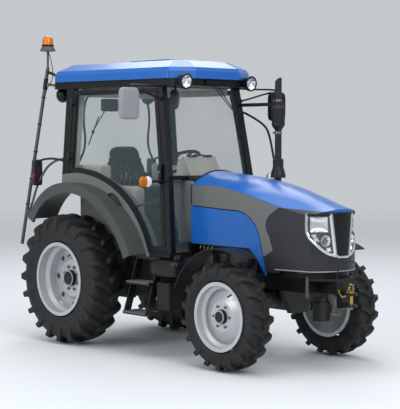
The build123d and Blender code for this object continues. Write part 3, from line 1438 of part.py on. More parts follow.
for name, piece in pieces.items():
    piece.part.label = name
    export_step(piece.part, f"parts/{name}.step")
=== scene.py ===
# %% [markdown]
# A compact cab tractor, dressed in Blender over its solid model. Each step below first says what the
# piece is on the real machine, then how it could be made, and why one way was chosen. The solids
# come in already packed: each one is a node, and it rides on a body that a joint can move.

# %% Load the solids and keep their box
import json
import math

import bmesh
import bpy
import numpy as np
from mathutils import Matrix


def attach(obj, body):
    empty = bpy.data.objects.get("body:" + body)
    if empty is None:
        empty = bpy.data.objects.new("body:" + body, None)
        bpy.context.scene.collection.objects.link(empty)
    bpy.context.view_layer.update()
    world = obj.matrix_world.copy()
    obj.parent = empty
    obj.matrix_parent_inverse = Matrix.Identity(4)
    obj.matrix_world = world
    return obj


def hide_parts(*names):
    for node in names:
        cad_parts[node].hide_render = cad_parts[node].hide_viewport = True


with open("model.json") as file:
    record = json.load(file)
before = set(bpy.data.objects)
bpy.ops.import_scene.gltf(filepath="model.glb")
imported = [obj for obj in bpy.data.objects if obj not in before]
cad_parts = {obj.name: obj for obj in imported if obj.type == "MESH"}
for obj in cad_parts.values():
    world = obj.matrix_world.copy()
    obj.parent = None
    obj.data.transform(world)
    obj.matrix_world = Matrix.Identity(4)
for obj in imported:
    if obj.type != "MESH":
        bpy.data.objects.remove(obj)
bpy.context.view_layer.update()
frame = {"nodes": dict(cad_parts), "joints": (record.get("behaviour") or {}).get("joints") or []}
nodes = frame["nodes"]
joint_at = {j["name"]: j["pos_m"] for j in frame["joints"]}
REAR_AXLE_X = joint_at["rear_spin_right"][0]
FRONT_AXLE_X = joint_at["front_spin_right"][0]

# %% [markdown]
# Nearly every new piece is a surface over a grid: one number runs along it, one runs across it, and a
# formula gives the point. Whole grids are worked out at once as arrays. Four shapes cover most of a
# machine: a tube along a path, a turned profile, a flat outline with a thickness, and a soft box.
# Bmesh or the modelling operators could make the same shapes, but arrays keep each size in plain sight.

# %% Places, directions and surfaces over a grid
def along(distance):
    """X in the shared frame of a length that is measured forward from the rear axle, in metres."""
    return REAR_AXLE_X + distance


def placed(points):
    """Points whose lengths are measured forward from the rear axle, moved into the shared frame."""
    return np.asarray(points, float) + (REAR_AXLE_X, 0, 0)


def unit(v):
    """Vectors divided by their own lengths."""
    v = np.asarray(v, float)
    return v / np.linalg.norm(v, axis=-1, keepdims=True)


def grid(points, wrap_u=False, wrap_v=False):
    """A surface: point (i, j) joins its neighbours in quads, and a wrapped direction joins its last line
    to its first."""
    points = np.asarray(points, float)
    nu, nv = points.shape[:2]
    i, j = np.meshgrid(np.arange(nu - (not wrap_u)), np.arange(nv - (not wrap_v)), indexing="ij")
    k, l = (i + 1) % nu, (j + 1) % nv
    quads = np.stack([i * nv + j, k * nv + j, k * nv + l, i * nv + l], axis=-1).reshape(-1, 4)
    return points.reshape(-1, 3), quads


def tube(path, radius, sides=14, ref=(0, 0, 1)):
    """A round tube: at each path point a circle stands square to the path, turned from the reference
    direction. Ends close on their middles."""
    path = np.asarray(path, float)
    t = unit(np.gradient(path, axis=0))
    side = unit(np.cross(t, np.asarray(ref, float)))
    up = np.cross(side, t)
    a = np.linspace(0, 2 * np.pi, sides, endpoint=False)
    r = np.broadcast_to(np.asarray(radius, float), (len(path),))[:, None, None]
    c, s = np.cos(a)[None, :, None], np.sin(a)[None, :, None]
    ring = path[:, None] + r * (c * side[:, None] + s * up[:, None])
    ends = [np.repeat(path[e][None, None], sides, axis=1) for e in (0, -1)]
    return grid(np.concatenate([ends[0], ring, ends[1]]), wrap_v=True)

# %% [markdown]
# A turned part is a profile carried round an axis, as a lathe makes it. A slab is cut from plate, and its
# edge is eased so that it catches light. A soft box stands for anything moulded. A bevelled cube would do
# for some of them, but its faces stay flat, and moulded faces swell a little.

# %% Turned parts, slabs and soft boxes
def turned(profile, origin, axis, steps=48):
    """A turned part: each (radius, height) of the profile becomes a circle about the axis, at that height
    from the origin."""
    profile = np.asarray(profile, float)
    axis = unit(axis)
    side = unit(np.cross(axis, (0.31, 0.52, 0.79)))
    up = np.cross(axis, side)
    a = np.linspace(0, 2 * np.pi, steps, endpoint=False)
    round_ = np.cos(a)[:, None] * side + np.sin(a)[:, None] * up
    radius, height = profile[:, 0, None, None], profile[:, 1, None, None]
    return grid(np.asarray(origin) + height * axis + radius * round_[None], wrap_v=True)


def slab(outline, origin, u, v, depth, edge=0.003):
    """A flat outline with a thickness: its rings step in by the edge at both faces and close on the
    outline's middle."""
    outline = np.asarray(outline, float)
    u, v = unit(u), unit(v)
    w = np.cross(u, v)
    middle = outline.mean(axis=0)
    reach = np.linalg.norm(outline - middle, axis=1, keepdims=True)
    inset = middle + (outline - middle) * np.maximum(0.0, 1 - edge / np.maximum(reach, 1e-9))
    hub = np.broadcast_to(middle, outline.shape)
    rings = [(hub, 0), (inset, 0), (outline, edge), (outline, depth - edge), (inset, depth), (hub, depth)]
    points = [np.asarray(origin) + o[:, :1] * u + o[:, 1:] * v + h * w for o, h in rings]
    return grid(np.stack(points), wrap_v=True)


def soft_box(centre, half, power=0.35, nu=20, nv=32, axes=np.eye(3)):
    """A box with soft corners: a ball whose sines and cosines are raised to a power below one, then
    stretched to the half sizes."""
    p = np.linspace(-np.pi / 2, np.pi / 2, nu)[:, None]
    q = np.linspace(0, 2 * np.pi, nv, endpoint=False)[None, :]
    bend = lambda s: np.sign(s) * np.abs(s) ** power
    local = np.stack(np.broadcast_arrays(bend(np.cos(p)) * bend(np.cos(q)), bend(np.cos(p)) * bend(np.sin(q)),
                                         bend(np.sin(p))), axis=-1)
    return grid(np.asarray(centre) + (local * np.asarray(half)) @ np.asarray(axes, float), wrap_v=True)

# %% [markdown]
# Rods and pipes are bent, so their lines have no sharp corners. Cutting the corners again and again gives
# a smooth line that stays inside its points, which a spline through the points would not. The tractor is
# nearly the same on both sides, so most pieces are made on the right and mirrored.

# %% Smooth lines and mirror images
def rounded(points, rounds=3, closed=False):
    """A smooth line: each round cuts every corner at a quarter and three quarters of the runs beside it,
    and open ends stay."""
    p = np.asarray(points, float)
    for _ in range(rounds):
        nxt = np.roll(p, -1, axis=0) if closed else p[1:]
        here = p if closed else p[:-1]
        cut = np.stack([0.75 * here + 0.25 * nxt, 0.25 * here + 0.75 * nxt], axis=1).reshape(-1, p.shape[1])
        p = cut if closed else np.concatenate([p[:1], cut, p[-1:]])
    return p


def bent(points, rounds, radius, sides=14, ref=(0, 0, 1)):
    """A rod or pipe along a smoothed line whose lengths are measured forward from the rear axle."""
    return tube(rounded(placed(points), rounds), radius, sides, ref)


def cornered(points, cut):
    """A closed outline whose corners are softened only near them: each gives two points at one length
    along its sides."""
    p = np.asarray(points, float)
    sides = [p + cut * unit(np.roll(p, turn, axis=0) - p) for turn in (1, -1)]
    return rounded(np.stack(sides, axis=1).reshape(-1, 2), 2, closed=True)


def mirrored(surface):
    """The same surface on the other side of the tractor's middle plane."""
    points, quads = surface
    return points * np.array([1.0, -1.0, 1.0]), quads[:, ::-1]


def both(*surfaces):
    """Each surface and its mirror image."""
    return [s for one in surfaces for s in (one, mirrored(one))]

# %% [markdown]
# A finished piece is one object that holds all surfaces of one fitting, each with its own finish. Objects
# could be joined by an operator, but arrays put end to end are quicker and keep the finishes in order.

# %% One object from surfaces
def piece(name, parts, body, stands_for=(), sharp=40):
    """One object from (material, surfaces) pairs: the grids are put end to end, doubles merged, normals
    turned outwards, and edges over the angle kept sharp."""
    mesh = bpy.data.meshes.new(name)
    chunks = [(m, s) for m, surfaces in parts for s in surfaces]
    starts = np.cumsum([0] + [len(s[0]) for _, s in chunks])
    points = np.concatenate([s[0] for _, s in chunks])
    quads = np.concatenate([s[1] + o for (_, s), o in zip(chunks, starts)])
    materials = [m for m, _ in parts]
    which = np.concatenate([np.full(len(s[1]), materials.index(m)) for m, s in chunks])
    mesh.from_pydata(points.tolist(), [], quads.tolist())
    for m in materials:
        mesh.materials.append(m)
    mesh.polygons.foreach_set("material_index", which.astype(np.int32))
    bm = bmesh.new()
    bm.from_mesh(mesh)
    bmesh.ops.remove_doubles(bm, verts=bm.verts, dist=1e-5)
    bmesh.ops.dissolve_degenerate(bm, edges=bm.edges, dist=1e-6)
    bmesh.ops.recalc_face_normals(bm, faces=bm.faces)
    for face in bm.faces:
        face.smooth = True
    for edge in bm.edges:
        edge.smooth = not (edge.is_manifold and edge.calc_face_angle() > math.radians(sharp))
    bm.to_mesh(mesh)
    bm.free()
    obj = bpy.data.objects.new(name, mesh)
    bpy.context.scene.collection.objects.link(obj)
    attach(obj, body)
    if stands_for:
        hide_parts(*stands_for)
    print(f"{name}: {len(mesh.polygons)} faces on {body}")

# %% [markdown]
# The camera stands where the photograph was taken from. Its place was worked out from the wheels, whose
# tyre sizes are known for this class, so the view is a long lens a little above axle height. The stage is
# a plain pale floor under four large soft lights, bright enough that a colour shows about as it is
# written.

# %% Camera and lights
CAMERA_AT = (along(9.529), -7.722, 1.813)
CAMERA_LOOKS_AT = (along(1.072), -0.055, 1.253)
LENS_MM = 117.3
LIGHTS_AIM = (0.0, 0.0, 1.0)


def aimed(obj, place, target):
    """Puts a lamp or camera at a place and turns its own -Z towards the target, +Y up."""
    back = unit(np.subtract(place, target))
    right = unit(np.cross((0, 0, 1), back))
    turn = np.eye(4)
    turn[:3, 0], turn[:3, 1], turn[:3, 2], turn[:3, 3] = right, np.cross(back, right), back, place
    obj.matrix_world = Matrix(turn.tolist())


scene = bpy.context.scene
scene.view_settings.view_transform = "Standard"
camera = bpy.data.objects.new("camera", bpy.data.cameras.new("camera"))
camera.data.lens = LENS_MM
camera.data.sensor_width = 36
camera.data.clip_end = 200
scene.collection.objects.link(camera)
aimed(camera, CAMERA_AT, CAMERA_LOOKS_AT)
scene.camera = camera

for name, place, width, watts in [
    ("sky_light", (1.0, -1.0, 9.0), 9.0, 360),
    ("key_light", (7.5, -2.0, 5.5), 5.0, 250),
    ("side_light", (-1.5, -9.0, 4.5), 6.0, 300),
    ("back_light", (-5.5, 4.8, 8.5), 6.0, 300),
]:
    lamp = bpy.data.lights.new(name, "AREA")
    lamp.shape = "DISK"
    lamp.size = width
    lamp.energy = watts
    obj = bpy.data.objects.new(name, lamp)
    scene.collection.objects.link(obj)
    aimed(obj, place, LIGHTS_AIM)
print("camera", [round(c, 3) for c in CAMERA_AT], "lens", LENS_MM)

# %% [markdown]
# A finish is named for the real stuff and how its surface was made. Colours are written as the hex values
# one would pick on a screen and turned to linear light by one function. Patterns use Object coordinates in
# metres, so a scale of 1000 / size gives a pattern of that size in millimetres.

# %% One function for colour, one for nodes
DUST = "#7d7a74"


def linear(hex_code):
    """sRGB hex to linear: a straight foot below 4 percent, and a 2.4 power above it."""
    s = np.array([int(hex_code[i:i + 2], 16) for i in (1, 3, 5)]) / 255
    return (*np.where(s <= 0.04045, s / 12.92, ((s + 0.055) / 1.055) ** 2.4).tolist(), 1.0)


def tint(hex_code, factor):
    """The linear colour of a hex value, times a factor."""
    return (*(min(1.0, c * factor) for c in linear(hex_code)[:3]), 1.0)


def add(tree, kind, links=None, **values):
    """Adds one node: keyword values go to its settings or, with spaces as underscores, to its inputs,
    and links name the sockets that feed it."""
    node = tree.nodes.new(kind)
    for key, value in values.items():
        label = key.replace("_", " ")
        if label in node.inputs:
            node.inputs[label].default_value = value
        else:
            setattr(node, key, value)
    for socket, source in (links or {}).items():
        tree.links.new(source, node.inputs[socket])
    return node


def new_finish(name):
    """An empty material, its node tree and its Object coordinates."""
    material = bpy.data.materials.new(name)
    material.use_nodes = True
    tree = material.node_tree
    tree.nodes.clear()
    place = add(tree, "ShaderNodeTexCoord").outputs["Object"]
    return material, tree, place


print("dust in linear light:", [round(c, 3) for c in linear(DUST)])

# %% [markdown]
# Dust settles on every low surface of a working machine. It could be painted on by hand, but a mask of
# height times noise does it for all finishes at once, and it thins out upwards in patches.

# %% Dust
def per_mm(size):
    """Pattern scale for a feature of this size in millimetres."""
    return 1000.0 / size


def dusted(tree, place, colour, dust, heights, size, rough):
    """Dust over a colour: full below the first height, none above the second, times a fine noise."""
    up = add(tree, "ShaderNodeSeparateXYZ", {"Vector": place})
    fade = add(tree, "ShaderNodeMapRange", {"Value": up.outputs["Z"]}, From_Min=heights[0],
               From_Max=heights[1], To_Min=dust, To_Max=0.0)
    specks = add(tree, "ShaderNodeTexNoise", {"Vector": place}, Scale=per_mm(size), Detail=6.0,
                 Roughness=rough)
    patch = add(tree, "ShaderNodeMath", {0: fade.outputs["Result"], 1: specks.outputs["Fac"]},
                operation="MULTIPLY").outputs["Value"]
    dusty = add(tree, "ShaderNodeMix", {"Factor": patch, "A": colour}, data_type="RGBA", B=linear(DUST))
    return dusty.outputs["Result"], patch

# %% [markdown]
# Sprayed enamel covers most of the machine: blue panels, the gray band, black frames and silver wheels.
# Close up it has a faint orange peel of a few millimetres, and road dust greys it towards the ground and
# dulls its gloss.

# %% Sprayed enamel
PEEL_MM = 4.0


def enamel(name, colour, rough, coat, dust=0.25, metal=0.0, dust_top=1.1, shine=0.5):
    """Paint: a large soft noise shifts its shade, a fine one gives the peel, and dust fades in below a
    height."""
    material, tree, place = new_finish(name)
    cloud = add(tree, "ShaderNodeTexNoise", {"Vector": place}, Scale=per_mm(260), Detail=3.0)
    shade = add(tree, "ShaderNodeMix", {"Factor": cloud.outputs["Fac"]}, data_type="RGBA",
                A=tint(colour, 0.93), B=tint(colour, 1.05))
    dusty, patch = dusted(tree, place, shade.outputs["Result"], dust, (0.15, dust_top), 35, 0.65)
    gloss = add(tree, "ShaderNodeMapRange", {"Value": patch}, From_Max=0.3, To_Min=rough, To_Max=0.8)
    peel = add(tree, "ShaderNodeTexNoise", {"Vector": place}, Scale=per_mm(PEEL_MM), Detail=1.0)
    bump = add(tree, "ShaderNodeBump", {"Height": peel.outputs["Fac"]}, Strength=0.06, Distance=0.001)
    shader = add(tree, "ShaderNodeBsdfPrincipled",
                 {"Base Color": dusty, "Roughness": gloss.outputs["Result"],
                  "Normal": bump.outputs["Normal"]},
                 Metallic=metal, Coat_Weight=coat, Coat_Roughness=0.16, Specular_IOR_Level=shine)
    add(tree, "ShaderNodeOutputMaterial", {"Surface": shader.outputs["BSDF"]})
    return material


BLUE_ENAMEL = enamel("blue_enamel", "#0d5cae", 0.32, 0.28, dust=0.04, shine=0.35)
BAND_ENAMEL = enamel("gray_band_enamel", "#646564", 0.36, 0.25, dust=0.08, shine=0.35)
BLACK_ENAMEL = enamel("black_enamel", "#0e0f11", 0.32, 0.12, dust=0.06, shine=0.25)
POLE_ENAMEL = enamel("gray_pole_enamel", "#494b4f", 0.38, 0.1, dust=0.08, shine=0.3)
WHEEL_ENAMEL = enamel("silver_wheel_enamel", "#bcbfc2", 0.34, 0.2, dust=0.14, metal=0.5, dust_top=0.9)
STACK_ENAMEL = enamel("heat_black_enamel", "#1f1f21", 0.46, 0.0, dust=0.1, shine=0.3)
print("enamels:", [m.name for m in bpy.data.materials if m.name.endswith("enamel")])

# %% [markdown]
# Moulded plastic has no coat: its mould was etched with a grain of about a millimetre, which breaks the
# highlight up. A cell pattern with rounded cells looks more like an etched mould than plain noise does.
# The real grain is too fine for the picture, so it is drawn about three times as coarse.

# %% Moulded plastic
def moulded(name, colour, rough, grain_mm=3.0, grain=0.25, dust=0.10, shine=0.3):
    """Plastic: smooth cells give the grain, a soft noise fades the colour, and dust lies in it low down."""
    material, tree, place = new_finish(name)
    cells = add(tree, "ShaderNodeTexVoronoi", {"Vector": place}, feature="SMOOTH_F1",
                Scale=per_mm(grain_mm), Smoothness=0.6)
    cloud = add(tree, "ShaderNodeTexNoise", {"Vector": place}, Scale=per_mm(180), Detail=4.0)
    shade = add(tree, "ShaderNodeMix", {"Factor": cloud.outputs["Fac"]}, data_type="RGBA",
                A=tint(colour, 0.85), B=tint(colour, 1.15))
    dusty, _ = dusted(tree, place, shade.outputs["Result"], dust, (0.2, 1.2), 30, 0.7)
    worn = add(tree, "ShaderNodeMapRange", {"Value": cloud.outputs["Fac"]}, From_Min=0.3, From_Max=0.7,
               To_Min=rough - 0.06, To_Max=rough + 0.08)
    bump = add(tree, "ShaderNodeBump", {"Height": cells.outputs["Distance"]}, Strength=grain, Distance=0.0008)
    shader = add(tree, "ShaderNodeBsdfPrincipled",
                 {"Base Color": dusty, "Roughness": worn.outputs["Result"], "Normal": bump.outputs["Normal"]},
                 IOR=1.49, Specular_IOR_Level=shine)
    add(tree, "ShaderNodeOutputMaterial", {"Surface": shader.outputs["BSDF"]})
    return material


NOSE_PLASTIC = moulded("charcoal_nose_plastic", "#25262c", 0.36, grain=0.10, dust=0.06, shine=0.35)
FENDER_PLASTIC = moulded("dark_fender_plastic", "#414444", 0.40, grain=0.15, shine=0.4)
ARCH_PLASTIC = moulded("gray_arch_plastic", "#676a69", 0.42, grain=0.15, shine=0.4)
BLACK_PLASTIC = moulded("black_trim_plastic", "#0e0f10", 0.42, dust=0.06, shine=0.25)
CABIN_PLASTIC = moulded("pale_cabin_plastic", "#b3b1aa", 0.55, dust=0.0)
SHELL_PLASTIC = moulded("gray_mirror_plastic", "#8b8c92", 0.45, dust=0.0)
SEAL_RUBBER = moulded("black_seal_rubber", "#0d0d0e", 0.62, grain=0.1, dust=0.1)
SEAT_VINYL = moulded("black_seat_vinyl", "#17171a", 0.55, grain_mm=5.0, grain=0.12, dust=0.0)
print("plastics:", [m.name for m in bpy.data.materials if m.name.endswith("plastic")])

# %% [markdown]
# Castings, tyres and metals come next. Sand-cast iron keeps the sand's roughness under its paint. Tyre
# rubber is nearly black, with a brown-gray bloom of dried dust. Zinc, chrome and dull steel differ
# in colour and in how far their scratches spread the highlight.

# %% Cast iron, tyre rubber and bare metals
def sand_cast(name, colour, rough):
    """Painted casting: a rough noise gives the sand's lumps, and a soft one lays a gray film on it."""
    material, tree, place = new_finish(name)
    lumps = add(tree, "ShaderNodeTexNoise", {"Vector": place}, Scale=per_mm(9), Detail=5.0, Roughness=0.7)
    cloud = add(tree, "ShaderNodeTexNoise", {"Vector": place}, Scale=per_mm(120), Detail=4.0)
    shade = add(tree, "ShaderNodeMix", {"Factor": cloud.outputs["Fac"]}, data_type="RGBA",
                A=linear(colour), B=linear("#34332f"))
    bump = add(tree, "ShaderNodeBump", {"Height": lumps.outputs["Fac"]}, Strength=0.35, Distance=0.002)
    shader = add(tree, "ShaderNodeBsdfPrincipled",
                 {"Base Color": shade.outputs["Result"], "Normal": bump.outputs["Normal"]}, Roughness=rough)
    add(tree, "ShaderNodeOutputMaterial", {"Surface": shader.outputs["BSDF"]})
    return material


def bare_metal(name, colour, rough, scratch=0.1):
    """Metal: stretched noise gives fine scratches in the roughness, and a soft one clouds the colour."""
    material, tree, place = new_finish(name)
    stretch = add(tree, "ShaderNodeMapping", {"Vector": place}, Scale=(per_mm(3), per_mm(3), per_mm(60)))
    lines = add(tree, "ShaderNodeTexNoise", {"Vector": stretch.outputs["Vector"]}, Scale=1.0, Detail=4.0)
    spread = add(tree, "ShaderNodeMapRange", {"Value": lines.outputs["Fac"]},
                 To_Min=max(0.02, rough - scratch), To_Max=rough + scratch)
    cloud = add(tree, "ShaderNodeTexNoise", {"Vector": place}, Scale=per_mm(40), Detail=3.0)
    shade = add(tree, "ShaderNodeMix", {"Factor": cloud.outputs["Fac"]}, data_type="RGBA",
                A=tint(colour, 0.85), B=linear(colour))
    shader = add(tree, "ShaderNodeBsdfPrincipled",
                 {"Base Color": shade.outputs["Result"], "Roughness": spread.outputs["Result"]}, Metallic=1.0)
    add(tree, "ShaderNodeOutputMaterial", {"Surface": shader.outputs["BSDF"]})
    return material


def tyre_rubber(name):
    """Rubber: pores in the bump, and dried dust that a patchy noise leaves on it."""
    material, tree, place = new_finish(name)
    pores = add(tree, "ShaderNodeTexNoise", {"Vector": place}, Scale=per_mm(6), Detail=6.0, Roughness=0.7)
    cloud = add(tree, "ShaderNodeTexNoise", {"Vector": place}, Scale=per_mm(90), Detail=5.0, Roughness=0.6)
    patch = add(tree, "ShaderNodeMapRange", {"Value": cloud.outputs["Fac"]}, From_Min=0.45, From_Max=0.75,
                To_Min=0.0, To_Max=0.35)
    shade = add(tree, "ShaderNodeMix", {"Factor": patch.outputs["Result"]}, data_type="RGBA",
                A=linear("#151517"), B=linear("#3a3733"))
    spread = add(tree, "ShaderNodeMapRange", {"Value": cloud.outputs["Fac"]}, To_Min=0.45, To_Max=0.8)
    bump = add(tree, "ShaderNodeBump", {"Height": pores.outputs["Fac"]}, Strength=0.2, Distance=0.001)
    shader = add(tree, "ShaderNodeBsdfPrincipled",
                 {"Base Color": shade.outputs["Result"], "Roughness": spread.outputs["Result"],
                  "Normal": bump.outputs["Normal"]}, IOR=1.52, Specular_IOR_Level=0.35)
    add(tree, "ShaderNodeOutputMaterial", {"Surface": shader.outputs["BSDF"]})
    return material


CAST_IRON = sand_cast("sand_cast_iron", "#1d1d1f", 0.55)
TYRE_RUBBER = tyre_rubber("tyre_rubber")
CHROME = bare_metal("lamp_chrome", "#e6e8ea", 0.08, 0.04)
STEEL = bare_metal("dull_steel", "#7d7f82", 0.38)
YELLOW_ZINC = bare_metal("yellow_zinc_plate", "#c2a25a", 0.35)
print("metals:", [m.name for m in (CAST_IRON, CHROME, STEEL, YELLOW_ZINC)])

# %% [markdown]
# Cab glass is a thin clear sheet, so refraction hardly shows and what matters is that one sees through it
# with a faint green tint and a soft reflection. Low alpha does that and lets light into the cab. The lamp
# lenses are thick moulded plastic, so they do bend light, and the amber ones are dyed all through.

# %% Glass and lenses
def cab_glass(name, colour, cover):
    """Glass: the same clear sheet all over, with a film of dust that a wide noise thickens here and there."""
    material, tree, place = new_finish(name)
    film = add(tree, "ShaderNodeTexNoise", {"Vector": place}, Scale=per_mm(300), Detail=4.0)
    veil = add(tree, "ShaderNodeMapRange", {"Value": film.outputs["Fac"]},
               To_Min=cover - 0.03, To_Max=cover + 0.04)
    shader = add(tree, "ShaderNodeBsdfPrincipled", {"Alpha": veil.outputs["Result"]},
                 Base_Color=linear(colour), Roughness=0.03, IOR=1.52, Specular_IOR_Level=1.0)
    add(tree, "ShaderNodeOutputMaterial", {"Surface": shader.outputs["BSDF"]})
    return material


def lens(name, colour, rough, ribs_mm, clear):
    """Lens: fine ribs in the bump spread the light, and the dye is the same all through."""
    material, tree, place = new_finish(name)
    ribs = add(tree, "ShaderNodeTexWave", {"Vector": place}, Scale=per_mm(ribs_mm) / 20,
               bands_direction="Z", Distortion=0.0)
    bump = add(tree, "ShaderNodeBump", {"Height": ribs.outputs["Fac"]}, Strength=0.25, Distance=0.001)
    shader = add(tree, "ShaderNodeBsdfPrincipled", {"Normal": bump.outputs["Normal"]},
                 Base_Color=linear(colour), Roughness=rough, IOR=1.49, Transmission_Weight=clear)
    add(tree, "ShaderNodeOutputMaterial", {"Surface": shader.outputs["BSDF"]})
    return material


CAB_GLASS = cab_glass("clear_cab_glass", "#6d8288", 0.10)
LAMP_COVER = cab_glass("clear_lamp_cover", "#e9eef2", 0.08)
LAMP_LENS = lens("clear_lamp_lens", "#eef1f3", 0.04, 12, 0.95)
AMBER_LENS = lens("amber_lens", "#f08a10", 0.12, 8, 0.55)
WHITE_LENS = lens("white_side_lens", "#f3f1ea", 0.22, 8, 0.12)
RED_LENS = lens("red_lens", "#b01412", 0.12, 8, 0.4)
print("lenses:", [m.name for m in bpy.data.materials if m.name.endswith("lens")])

# %% [markdown]
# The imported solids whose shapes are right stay, and only get a finish. This table gives each of them the
# stuff it is made of. The pieces that follow add what the solids leave plain, or stand in for them.

# %% Finish the solids
FINISH_OF = {
    BLUE_ENAMEL: ["hood", "side_panels", "cab_roof"],
    BAND_ENAMEL: ["hood_bands"],
    NOSE_PLASTIC: ["nose_panel"],
    FENDER_PLASTIC: ["rear_fenders"],
    ARCH_PLASTIC: ["wheel_arches"],
    BLACK_PLASTIC: ["side_tanks", "bulkhead", "cab_floor", "roof_liner", "steering_wheel", "seat_base",
                    "front_guard_right", "front_guard_left", "mirrors"],
    BLACK_ENAMEL: ["front_frame", "drawbar", "steps", "front_pillars", "rear_pillars", "rear_wall",
                   "lower_links", "door_frame_right", "door_frame_left"],
    STACK_ENAMEL: ["exhaust_stack"],
    POLE_ENAMEL: ["beacon_pole"],
    CAST_IRON: ["engine", "gearbox", "rear_axle", "front_axle", "lift_arms", "knuckle_right", "knuckle_left"],
    CABIN_PLASTIC: ["dash"],
    CAB_GLASS: ["windscreen", "lower_panes", "rear_window", "door_glass_right", "door_glass_left"],
    SEAT_VINYL: ["seat_cushion", "seat_back"],
    AMBER_LENS: ["beacon", "signal_lamps"],
    LAMP_LENS: ["headlamps", "work_lamps"],
    WHEEL_ENAMEL: ["rear_rim_right", "rear_rim_left", "front_rim_right", "front_rim_left"],
    TYRE_RUBBER: ["rear_tyre_right", "rear_tyre_left", "front_tyre_right", "front_tyre_left"],
    STEEL: ["lift_rods"],
    YELLOW_ZINC: ["tow_pin"],
}
for finish, names in FINISH_OF.items():
    for name in names:
        nodes[name].data.materials.clear()
        nodes[name].data.materials.append(finish)
print("finished:", sum(len(n) for n in FINISH_OF.values()), "of", len(nodes))

# %% [markdown]
# Tractor tyres carry tall slanted bars in two rows that meet near the middle, so mud is pushed out
# sideways. A picture on a smooth ring would fail at the outline, and a sculpt could not be measured. Here
# one curve is the casing's section, the casing is that curve turned round the axle, and each bar is a
# ridge that is laid along the same curve while it trails behind its own middle end.

# %% Sizes of the wheels
WHEELS = {
    # radius, width, bead half gap, bead radius, bars in a row, bar height, axle, middle of the wheel
    "rear": (0.578, 0.315, 0.140, 0.335, 20, 0.040, REAR_AXLE_X, 0.625),
    "front": (0.432, 0.205, 0.085, 0.284, 18, 0.030, FRONT_AXLE_X, 0.615),
}
# A bar's length along the section, its trail round the tyre and its furthest reach, in tyre widths
BAR_LENGTH, BAR_TRAIL, BAR_REACH = 0.78, 0.42, 0.53
# A bar's foot as a share of the pitch, and how deep it is sunk into the casing, in metres
BAR_FOOT, BAR_SUNK = 0.34, 0.002


def wheel_points(angle, out, radius, axle_x, axle_z, middle):
    """Points of a right-hand wheel: the angle runs forward from the top, and out is measured outwards
    from its middle."""
    return np.stack(np.broadcast_arrays(axle_x + radius * np.sin(angle), -middle - out,
                                        axle_z + radius * np.cos(angle)), axis=-1)


def copies(points):
    """One surface from many grids of equal size, each joined only within itself."""
    count, nu, nv = points.shape[:3]
    _, quads = grid(points[0])
    return points.reshape(-1, 3), (quads[None] + (np.arange(count) * nu * nv)[:, None, None]).reshape(-1, 4)


print("tyres across:", {axle: round(2 * size[0], 3) for axle, size in WHEELS.items()})

# %% Section of the casing
def casing_section(radius, width, bead_half, bead_radius, bar_height):
    """Half of the casing's section from crown to bead, smoothed, with two thin ribs low on the side:
    rows of (out, radius)."""
    tread = radius - bar_height
    side = tread - bead_radius
    shares = [(0.30, 0.03), (0.44, 0.10), (0.495, 0.30), (0.50, 0.52), (0.47, 0.76)]
    corners = [(0, tread), *((out * width, tread - drop * side) for out, drop in shares),
               (bead_half + 0.010, bead_radius + 0.018), (bead_half, bead_radius)]
    curve = rounded(corners, 4)
    drop = (tread - curve[:, 1]) / side
    ribs = sum(np.exp(-((drop - at) / 0.018) ** 2) for at in (0.70, 0.80))
    return curve + np.stack([0.0025 * ribs, 0 * ribs], axis=1)

# %% Tyres with bars
def tyre_surfaces(radius, width, bead_half, bead_radius, bars, bar_height, axle_x, middle):
    """Casing and bars of a right-hand tyre. A bar follows the section from the crown to the upper side; its
    height is full on the tread and falls to nothing on the side, and across it is a flat top between two
    steep flanks."""
    half = casing_section(radius, width, bead_half, bead_radius, bar_height)
    section = np.concatenate([half[::-1], half[1:] * (-1, 1)])
    turn = np.linspace(0, 2 * np.pi, 144, endpoint=False)
    casing = grid(wheel_points(turn[:, None], section[None, :, 0], section[None, :, 1],
                               axle_x, radius, middle), wrap_u=True)
    length = np.concatenate([[0], np.cumsum(np.linalg.norm(np.diff(half, axis=0), axis=1))])
    run = np.linspace(0, 1, 26)
    reach = -0.02 * width + run * BAR_LENGTH * width
    out = np.interp(reach, length, half[:, 0]) + np.minimum(reach, 0)
    round_ = np.interp(reach, length, half[:, 1])
    slope = unit(np.stack([np.gradient(out), np.gradient(round_)], axis=1))
    normal = np.stack([-slope[:, 1], slope[:, 0]], axis=1)
    level = np.minimum(1, np.maximum(0, run / 0.05)) * np.clip((1.0 - run) / 0.34, 0, 1) ** 0.7
    shoulder = 1 + 0.25 * np.clip((run - 0.55) / 0.1, 0, 1)
    room = (radius - round_) / np.maximum(normal[:, 1], 0.25)
    tall = np.minimum(bar_height * level * shoulder, room)
    pitch = 2 * np.pi / bars
    trail = -BAR_TRAIL * width / radius * (run - 0.5) * (1.25 - 0.5 * run)
    flanks = np.array([-0.5, -0.36, -0.31, 0.0, 0.31, 0.36, 0.5])
    across = flanks * BAR_FOOT * pitch * (1 + 0.25 * run[:, None])
    rise = np.array([-0.15, 0.86, 1.0, 1.0, 1.0, 0.86, -0.15]) * tall[:, None] - BAR_SUNK
    spread = np.minimum(out[:, None] + rise * normal[:, :1], BAR_REACH * width)
    far = round_[:, None] + rise * normal[:, 1:]
    rows = []
    for hand, shift in ((1, 0.0), (-1, 0.5 * pitch)):
        angle = (np.arange(bars) * pitch + shift)[:, None, None] + trail[None, :, None] + across[None]
        rows.append(copies(wheel_points(angle, hand * spread[None], far[None], axle_x, radius, middle)))
    return [casing] + rows


for axle, size in WHEELS.items():
    surfaces = tyre_surfaces(*size)
    for side, shapes in (("right", surfaces), ("left", [mirrored(s) for s in surfaces])):
        piece(f"lugged_{axle}_tyre_{side}", [(TYRE_RUBBER, shapes)], f"{axle}_wheel_{side}",
              stands_for=(f"{axle}_tyre_{side}",), sharp=35)

